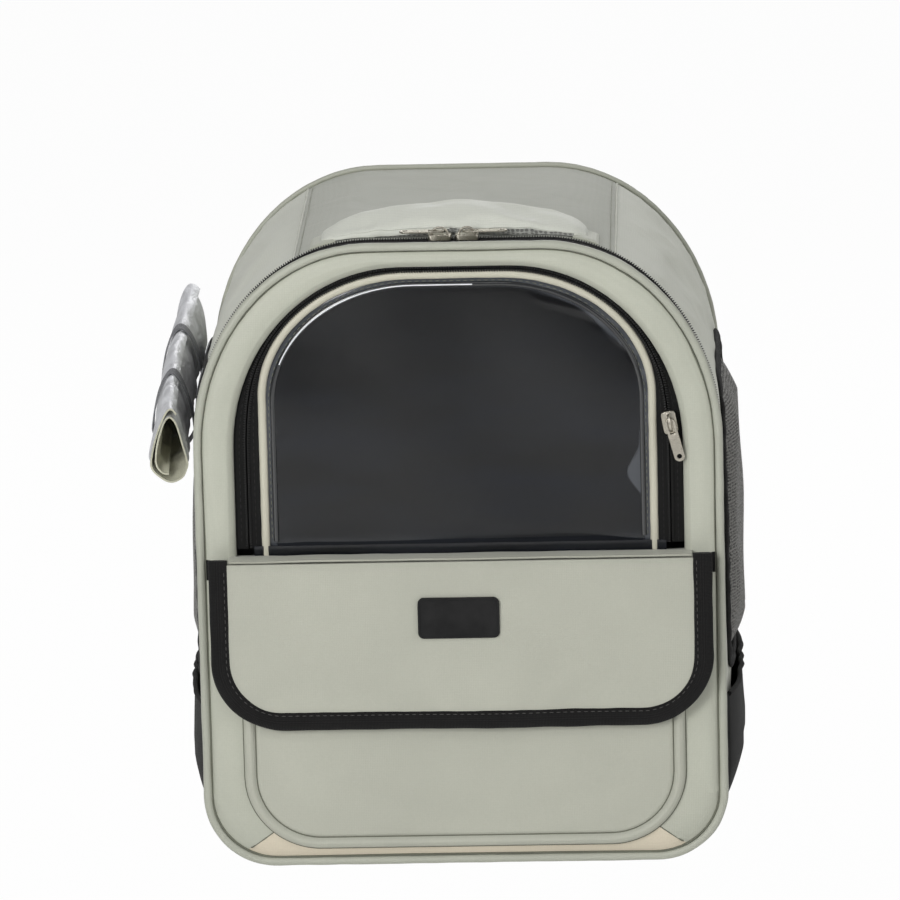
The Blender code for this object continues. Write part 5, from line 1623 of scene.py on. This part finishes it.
class BASKET_OT_handle(bpy.types.Operator):
    """Low padded carry handle with a mesh underside and sewn ends"""

    bl_idname = "basket.handle"
    bl_label = "Carry handle"

    def execute(self, context):
        sizes = context.scene.basket_sizes
        low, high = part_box("carry_handle")
        tab_low, tab_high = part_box("handle_tab_right")
        half = (tab_low[0] + tab_high[0]) / 2 + 0.001
        middle_y = (low[1] + high[1]) / 2
        half_wide, girth = 0.0165, 0.07

        def cover(x, turn):
            """A point of the padded band's skin round its section, which leans to the front."""
            share = min(abs(x) / half, 1.0)
            middle = 1 - share ** 2.6
            lean = math.radians(10 + 14 * middle)
            end = circle(max(share - 0.82, 0.0) / 0.18)
            thick = (0.0080 + 0.0036 * middle) * (0.15 + 0.85 * end)
            wide = half_wide * (0.72 + 0.22 * middle) * (0.40 + 0.60 * end)
            rise = 0.5 + 0.5 * math.cos(math.pi * share ** 1.15)
            centre = crown_height(sizes, x) + 0.0024 + 0.0068 * rise
            across, up = math.cos(turn), math.sin(turn)
            along = wide * squared(across, 0.78)
            swell = thick / 2 * squared(up, 0.9)
            fold = 0.0025 * noise_at(x * 34, turn * 1.3, 3.0)
            fold += 0.0011 * noise_at(x * 95, turn * 0.7, 8.0) * (0.5 + share)
            swell += fold * end * (1.0 if up > -0.3 else 0.3)
            y = middle_y + along * math.cos(lean) - swell * math.sin(lean)
            z = centre + along * math.sin(lean) + swell * math.cos(lean)
            return (x, y, max(z, crown_height(sizes, x) + 0.0003))

        for side, sign in SIDES:
            def place(u, v, sign=sign):
                return cover(sign * half * u, 2 * math.pi * v)

            # Painted shade: darker along the band's front and back edges.
            def edge_shade_and_glint(u, v):
                return 0.5 * max(1 - abs(math.sin(2 * math.pi * v)) / 0.25, 0.0)

            bm = sheet(90, 72, place, (half, girth), edge_shade_and_glint)
            own = bm.loops.layers.uv["UVMap"]
            # The mesh lies below and wraps a little round the front edge, more to the right.
            for face in bm.faces:
                spot = sum((corner[own].uv for corner in face.loops), Vector((0, 0)))
                turn = 2 * spot.y / len(face.loops) / girth
                x = sign * spot.x / len(face.loops)
                wrap = 0.17 * held((x + 0.030) / 0.030)
                face.material_index = int(1.0 - wrap < turn < 1.97 and abs(x) < half * 0.9)
            closed_up(bm)
            nodes = ("carry_handle", "handle_lining") if sign > 0 else ()
            ends = (f"handle_end_{side}",)
            padded = piece(f"handle_half_{side}", bm, ("handle cloth", "grey air mesh"),
                           None, "handle_cloth")
            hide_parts(*nodes, *ends)
            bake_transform(padded)
            for edge, turn in (("front", math.pi * 0.81), ("back", math.pi * 0.05)):
                line = [
                    Vector(cover(sign * half * (0.01 + 0.94 * step / 60), turn))
                    for step in range(61)
                ]
                sewn = piece(f"handle_seam_{side}_{edge}", tube(line, 0.0005, up=Z_AXIS),
                             "handle cloth", None, "handle_cloth")
                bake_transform(sewn)
            box_low, box_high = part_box(f"handle_tab_{side}")

            def patch(u, v, box_low=box_low, box_high=box_high):
                x, y = between(box_low[0], box_high[0], u), between(box_low[1], box_high[1], v)
                edge = min(u, 1 - u, v, 1 - v)
                return (x, y, crown_height(sizes, x) + 0.0006 + 0.0010 * min(edge / 0.1, 1.0)
                        + lumpy((x, y, 0), 50.0, 0.0002))

            bm = thickened(sheet(24, 30, patch, (0.016, 0.03)), 0.0008)
            piece(f"handle_patch_{side}", bm, "grey oxford cloth", "carrier", "black_tape",
                  (f"handle_tab_{side}",))
        return {"FINISHED"}


def packed_shape(node):
    """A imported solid's mesh, with its seams welded."""
    bm = bmesh.new()
    bm.from_mesh(frame["nodes"][node].data)
    bmesh.ops.remove_doubles(bm, verts=bm.verts, dist=WELD)
    return bm


def softened(name, node, material, body, slot, width):
    """A kept solid's shape with its hard edges eased, in a finish of its own."""
    bm = packed_shape(node)
    bmesh.ops.dissolve_limit(bm, angle_limit=math.radians(2), verts=bm.verts, edges=bm.edges)
    bmesh.ops.recalc_face_normals(bm, faces=bm.faces)
    own = bm.loops.layers.uv.verify()
    for face in bm.faces:
        axis = max(range(3), key=lambda i: abs(face.normal[i]))
        for corner in face.loops:
            spot = corner.vert.co
            corner[own].uv = [(spot.y, spot.z), (spot.x, spot.z), (spot.x, spot.y)][axis]
    made = piece(name, bm, material, body, slot, (node,))
    made.data.uv_layers[0].name = "UVMap"
    eased = made.modifiers.new("Eased", "BEVEL")
    eased.width, eased.segments = width, 2
    eased.limit_method, eased.angle_limit = "ANGLE", math.radians(32)
    eased.harden_normals = False


class BASKET_OT_hardware(bpy.types.Operator):
    """Zip sliders, pulls, hooks, plate, button, screws, pad and boards"""

    bl_idname = "basket.hardware"
    bl_label = "Hardware"

    def execute(self, context):
        # Each piece's name, its solid, its body and how wide its edges are eased
        for material, slot, pieces in (
            ("nickel plate", "metal", (
                ("window_zip_slider", "window_slider", "window_zip", 0.0003),
                ("window_zip_tab", "window_pull", "window_zip_pull", 0.0003),
                ("left_zip_slider", "door_slider_left", "door_zip_left", 0.0003),
                ("right_zip_slider", "door_slider_right", "door_zip_right", 0.0003),
                ("left_zip_tab", "door_pull_left", "door_zip_pull_left", 0.0003),
                ("right_zip_tab", "door_pull_right", "door_zip_pull_right", 0.0003),
            )),
            ("moulded plastic", "plastic", (
                ("bracket_plate", "mount_plate", "carrier", 0.0008),
                ("bracket_button", "release_button", "button", 0.0010),
            )),
            ("moulded rubber", "rubber", (("rubber_rear_pad", "rear_pad", "carrier", 0.0009),)),
            ("stiff board", "board", (
                ("floor_stiffener", "floor_board", "carrier", 0.0004),
                ("rear_stiffener", "rear_board", "carrier", 0.0004),
            )),
            ("grey oxford cloth", "cloth", (("base_cloth", "base_panel", "carrier", 0.0008),)),
            ("black grosgrain", "black_tape", (
                ("door_fold", "door_hinge_strip", "carrier", 0.0005),
            )),
            ("grip tape", "black_tape", (
                ("pocket_grip", "pocket_grip_tape", "front_door", 0.0002),
                ("flap_grip", "flap_grip_tape", "pocket_flap", 0.0002),
            )),
            ("black grosgrain", "black_tape", (
                ("left_flap_tab", "flap_tab_left", "front_door", 0.0004),
                ("right_flap_tab", "flap_tab_right", "front_door", 0.0004),
            )),
            ("black grosgrain", "webbing", (
                ("tether_sewn_end", "tether_stub", "carrier", 0.0005),
                ("tether_webbing", "tether_strap", "tether", 0.0005),
            )),
            ("nickel plate", "metal", (
                ("tether_swivel_eye", "tether_swivel", "tether", 0.0004),
                ("tether_hook", "snap_hook", "tether_swivel_axis", 0.0004),
                ("tether_hook_bolt", "snap_hook_bolt", "tether_bolt", 0.0003),
            )),
            ("zinc screw", "steel", tuple(
                (f"bracket_screw_{letter}", f"plate_screw_{letter}", "carrier", 0.0003)
                for letter in "abcd"
            )),
        ):
            for name, node, body, width in pieces:
                softened(name, node, material, body, slot, width)
        return {"FINISHED"}


class BASKET_OT_cushion(bpy.types.Operator):
    """Floor cushion, filled by a short cloth simulation"""

    bl_idname = "basket.cushion"
    bl_label = "Floor cushion"

    def execute(self, context):
        low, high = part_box("floor_cushion")
        bm = packed_shape("floor_cushion")
        # The shape starts a little smaller than the solid, which the filling takes up.
        anchor = Vector(((low[0] + high[0]) / 2, (low[1] + high[1]) / 2, low[2]))
        for vertex in bm.verts:
            for axis, share in enumerate((0.985, 0.985, 0.90)):
                vertex.co[axis] = between(anchor[axis], vertex.co[axis], share)
        made = piece("cushion", bm, "brushed cushion cloth", "carrier", "cushion",
                     ("floor_cushion",))
        scene = context.scene
        context.view_layer.objects.active = made
        remesh = made.modifiers.new("Even skin", "REMESH")
        remesh.mode, remesh.voxel_size, remesh.use_smooth_shade = "VOXEL", 0.005, True
        bpy.ops.object.modifier_apply(modifier=remesh.name)
        swell_frames, most_swell = 20, 0.006
        rest = [vertex.co.copy() for vertex in made.data.vertices]
        cloth = made.modifiers.new("Filling", "CLOTH")
        cloth.settings.use_pressure = True
        cloth.settings.uniform_pressure_force = 4.0
        cloth.settings.effector_weights.gravity = 0.0
        for number in range(1, swell_frames + 1):
            scene.frame_set(number)
        graph = context.evaluated_depsgraph_get()
        swollen = made.evaluated_get(graph).to_mesh()
        spots = [vertex.co.copy() for vertex in swollen.vertices]
        made.evaluated_get(graph).to_mesh_clear()
        made.modifiers.remove(cloth)
        scene.frame_set(1)
        for vertex, was, now in zip(made.data.vertices, rest, spots):
            move = now - was
            if move.length > most_swell:
                move *= most_swell / move.length
            vertex.co = was + move
        mesh = made.data
        for vertex in mesh.vertices:
            for axis, crown in enumerate((0.0, 0.0, 0.002)):
                vertex.co[axis] = held(vertex.co[axis], low[axis], high[axis] + crown)
        own = mesh.uv_layers.new(name="UVMap")
        for corner in mesh.loops:
            spot = mesh.vertices[corner.vertex_index].co
            own.data[corner.index].uv = (spot.x, spot.y)
        rounds = made.modifiers.new("Rounds", "SUBSURF")
        rounds.levels = rounds.render_levels = 1
        line = [
            Vector((x, y, low[2] + 0.0095))
            for x, y in even_points(rounded_box(low, high, 0.02, 0, 6), 260, closed=True)
        ]
        bm = tube(line, 0.0022, closed=True, sides=8, up=Z_AXIS, uneven=0.0002)
        piece("cushion_piping", bm, "black grosgrain", "carrier", "cushion")
        return {"FINISHED"}


class BASKET_OT_materials(bpy.types.Operator):
    """Finishes of all the pieces"""

    bl_idname = "basket.materials"
    bl_label = "Materials"

    def execute(self, context):
        colours = context.scene.basket_colours
        thread = context.scene.basket_sizes.thread_spacing
        cloth_material("grey oxford cloth", colours.cloth, thread, crease=0.42)
        cloth_material("flap oxford cloth", colours.flap_cloth, thread, crease=0.3)
        # Painted bounce light: the strip's warmer colour.
        cloth_material("strip cloth with painted bounce light", colours.strip_cloth_with_painted_bounce, thread)
        cloth_material("piping cloth", colours.piping, thread, rough=0.5, seam_shade=0.1)
        cloth_material("trim cloth", colours.trim, thread, rough=0.5, seam_shade=0.1)
        cloth_material("wall oxford cloth", colours.wall, thread, coating=0.15,
                       rough=0.72, crease=0.6)
        cloth_material("top oxford cloth", colours.top, thread, coating=0.1, rough=0.75,
                       crease=0.5)
        cloth_material("handle cloth", colours.handle, thread, coating=0.4, rough=0.6, crease=0.6)
        cloth_material("cream backing", colours.cream, thread, coating=0.0, rough=0.8)
        cloth_material("cabin lining", colours.lining, thread, coating=0.0, rough=0.8)
        # 0.9 mm ribs are drawn for grosgrain of 0.5 mm, so that they show.
        tape_material("black grosgrain", colours.tape, 0.0009)
        tape_material("zip tape", colours.zip_tape, 0.0011, twill=0.6)
        tape_material("grey elastic band", colours.band, 0.0010, rough=0.6, lighter=1.2)
        tape_material("black pocket cloth", colours.pocket_black, 0.0012, rough=0.75, lighter=2.4)
        tape_material("grip tape", colours.tape, 0.0016, rough=0.95)
        tape_material("brushed cushion cloth", colours.cushion, 0.0018, rough=0.92, lighter=1.3)
        solid_material("zip coil", colours.zip_tape, 0.38, 0.0004, 0.0001, coat=0.2)
        # The seam shadow and thread finish is darker than the cloth: painted shade where it is drawn
        # as lines in seams and crevices, thread colour where it is stitches.
        for name, colour, rough in (
            ("black thread", colours.tape, 0.6),
            ("grey thread", linear("#3f3d3c"), 0.6),
            ("pale thread", linear("#9b9d8f"), 0.6),
            ("seam thread", linear("#66685b"), 0.8),
        ):
            solid_material(name, colour, rough, 0.0002, 0.0001)
        solid_material("welded clear bead", linear("#1b1d20"), 0.10, 0.0010, 0.0001, coat=1.0)
        solid_material(
            "nickel plate", colours.metal, 0.27, 0.0006, 0.00004, metallic=1.0, scratch=0.35
        )
        solid_material(
            "zinc screw", linear("#8f9195"), 0.35, 0.0005, 0.00004, metallic=1.0, scratch=0.3
        )
        solid_material("moulded plastic", colours.plastic, 0.42, 0.0005, 0.00008, scratch=0.15)
        # Painted highlight along the window's bead, in the silver colour.
        solid_material("whitened weld", colours.silver, 0.3, 0.0007, 0.00002)
        solid_material("moulded rubber", colours.rubber, 0.82, 0.0007, 0.00010)
        solid_material("stiff board", linear("#242425"), 0.6, 0.0010, 0.00012, scratch=0.1)
        # The paler edge colour is a painted reflection on the sheet's hem; the near-black is painted
        # cabin shade.
        pane_material("clear window sheet", colours.pane_with_cabin_shade, linear("#484b50"))
        # The knit's holes are 1 mm and are drawn at 2 mm, so that they show.
        mesh_material("knitted side mesh", colours.mesh, 0.0021, 0.25, 0.35)
        mesh_material("grey air mesh", colours.handle_mesh, 0.0030, 1.0, 0.5)
        foil_material("silver foil cloth", colours.silver)
        return {"FINISHED"}


def area_lamp(name, place, target, size, power):
    """A white lamp of a width and a height in metres and a power in watts."""
    lamp = bpy.data.lights.new(name, "AREA")
    lamp.shape, lamp.size, lamp.size_y = "RECTANGLE", size[0], size[1]
    lamp.energy = power
    made = bpy.data.objects.new(name, lamp)
    made.location = place
    aim = (Vector(target) - Vector(place)).to_track_quat("-Z", "Y")
    made.rotation_euler = aim.to_euler()
    bpy.context.scene.collection.objects.link(made)


class BASKET_OT_stage(bpy.types.Operator):
    """Pale floor, soft studio lamps, plain world and the camera"""

    bl_idname = "basket.stage"
    bl_label = "Stage"

    def execute(self, context):
        scene = context.scene
        sizes = scene.basket_sizes
        scene.view_settings.view_transform = "Standard"
        camera = bpy.data.cameras.new("View")
        camera.sensor_width = 36
        camera.lens = 305.9
        made = bpy.data.objects.new("View", camera)
        aim = Vector((-0.0046, -0.130, 0.2695))
        azimuth, height, roll = math.radians(1.8), math.radians(13.5), math.radians(-1.4)
        across = math.cos(height)
        back = sizes.camera_distance * Vector(
            (math.sin(azimuth) * across, -math.cos(azimuth) * across, math.sin(height))
        )
        made.location = aim + back
        turn = (-back).to_track_quat("-Z", "Y").to_matrix() @ Matrix.Rotation(roll, 3, "Z")
        made.rotation_euler = turn.to_euler()
        scene.collection.objects.link(made)
        scene.camera = made
        area_lamp("Key", (-1.15, -2.5, 1.15), (0, 0, 0.2), (1.1, 1.1), 42)
        area_lamp("Fill", (2.0, -1.3, 1.2), (0, 0, 0.2), (1.6, 1.6), 13)
        area_lamp("Top", (0.0, 0.3, 2.4), (0, 0, 0.2), (2.0, 1.6), 3)
        area_lamp("Strip", (-0.75, -1.7, 2.1), (0, -0.12, 0.33), (2.0, 0.22), 8)
        area_lamp("Rear", (0.4, 2.2, 1.4), (0, 0, 0.25), (1.8, 1.4), 20)
        world = bpy.data.worlds.new("Studio")
        scene.world = world
        world.use_nodes = True
        tree = world.node_tree
        tree.nodes.clear()
        path = add_node(tree, "ShaderNodeLightPath").outputs
        seen = maths(tree, "MAXIMUM", path["Is Camera Ray"], path["Is Transmission Ray"])
        light, white = (
            add_node(tree, "ShaderNodeBackground", {"Color": WHITE, "Strength": strength})
            for strength in (0.27, 1.0)
        )
        blend = add_node(
            tree, "ShaderNodeMixShader", {0: seen, 1: light.outputs[0], 2: white.outputs[0]}
        )
        add_node(tree, "ShaderNodeOutputWorld", {"Surface": blend.outputs[0]})
        # The basket hangs on a bicycle, and its open front swings down below its base.
        floor_reach, floor_height = 30.0, -0.24
        bm = bmesh.new()
        bmesh.ops.create_grid(bm, x_segments=1, y_segments=1, size=floor_reach)
        bm.transform(Matrix.Translation((0, 0, floor_height)))
        mesh = bpy.data.meshes.new("floor")
        bm.to_mesh(mesh)
        bm.free()
        floor = bpy.data.objects.new("floor", mesh)
        scene.collection.objects.link(floor)
        material, tree, shader = new_material("pale floor")
        fill(tree, shader, {"Base Color": full_colour(linear("#f4f4f2")), "Roughness": 0.9})
        output = next(node for node in tree.nodes if node.type == "OUTPUT_MATERIAL")
        seen = add_node(tree, "ShaderNodeLightPath").outputs["Is Camera Ray"]
        glow = add_node(tree, "ShaderNodeEmission", {"Color": WHITE, "Strength": 1.0})
        blend = add_node(
            tree, "ShaderNodeMixShader",
            {0: maths(tree, "MULTIPLY", seen, 0.97), 1: shader.outputs[0], 2: glow.outputs[0]},
        )
        fill(tree, output, {"Surface": blend.outputs[0]})
        mesh.materials.append(material)
        return {"FINISHED"}


OPERATORS = (
    BASKET_OT_stage, BASKET_OT_materials, BASKET_OT_door, BASKET_OT_piping, BASKET_OT_zips,
    BASKET_OT_window, BASKET_OT_pocket, BASKET_OT_flap, BASKET_OT_shell,
    BASKET_OT_side_windows, BASKET_OT_cover, BASKET_OT_handle, BASKET_OT_hardware,
    BASKET_OT_cushion,
)


class BASKET_PT_panel(bpy.types.Panel):
    bl_label = "Handlebar dog basket"
    bl_idname = "BASKET_PT_panel"
    bl_space_type = "VIEW_3D"
    bl_region_type = "UI"
    bl_category = "Basket"

    def draw(self, context):
        for operator in OPERATORS:
            self.layout.operator(operator.bl_idname)
        for group in (context.scene.basket_sizes, context.scene.basket_colours):
            for name in group.__annotations__:
                self.layout.prop(group, name)


CLASSES = (BasketSizes, BasketColours, *OPERATORS, BASKET_PT_panel)


def register():
    for made in CLASSES:
        bpy.utils.register_class(made)
    bpy.types.Scene.basket_sizes = PointerProperty(type=BasketSizes)
    bpy.types.Scene.basket_colours = PointerProperty(type=BasketColours)


def unregister():
    del bpy.types.Scene.basket_colours
    del bpy.types.Scene.basket_sizes
    for made in reversed(CLASSES):
        bpy.utils.unregister_class(made)


def main():
    register()
    for operator in OPERATORS:
        group, name = operator.bl_idname.split(".")
        getattr(getattr(bpy.ops, group), name)()


if __name__ == "__main__":
    main()
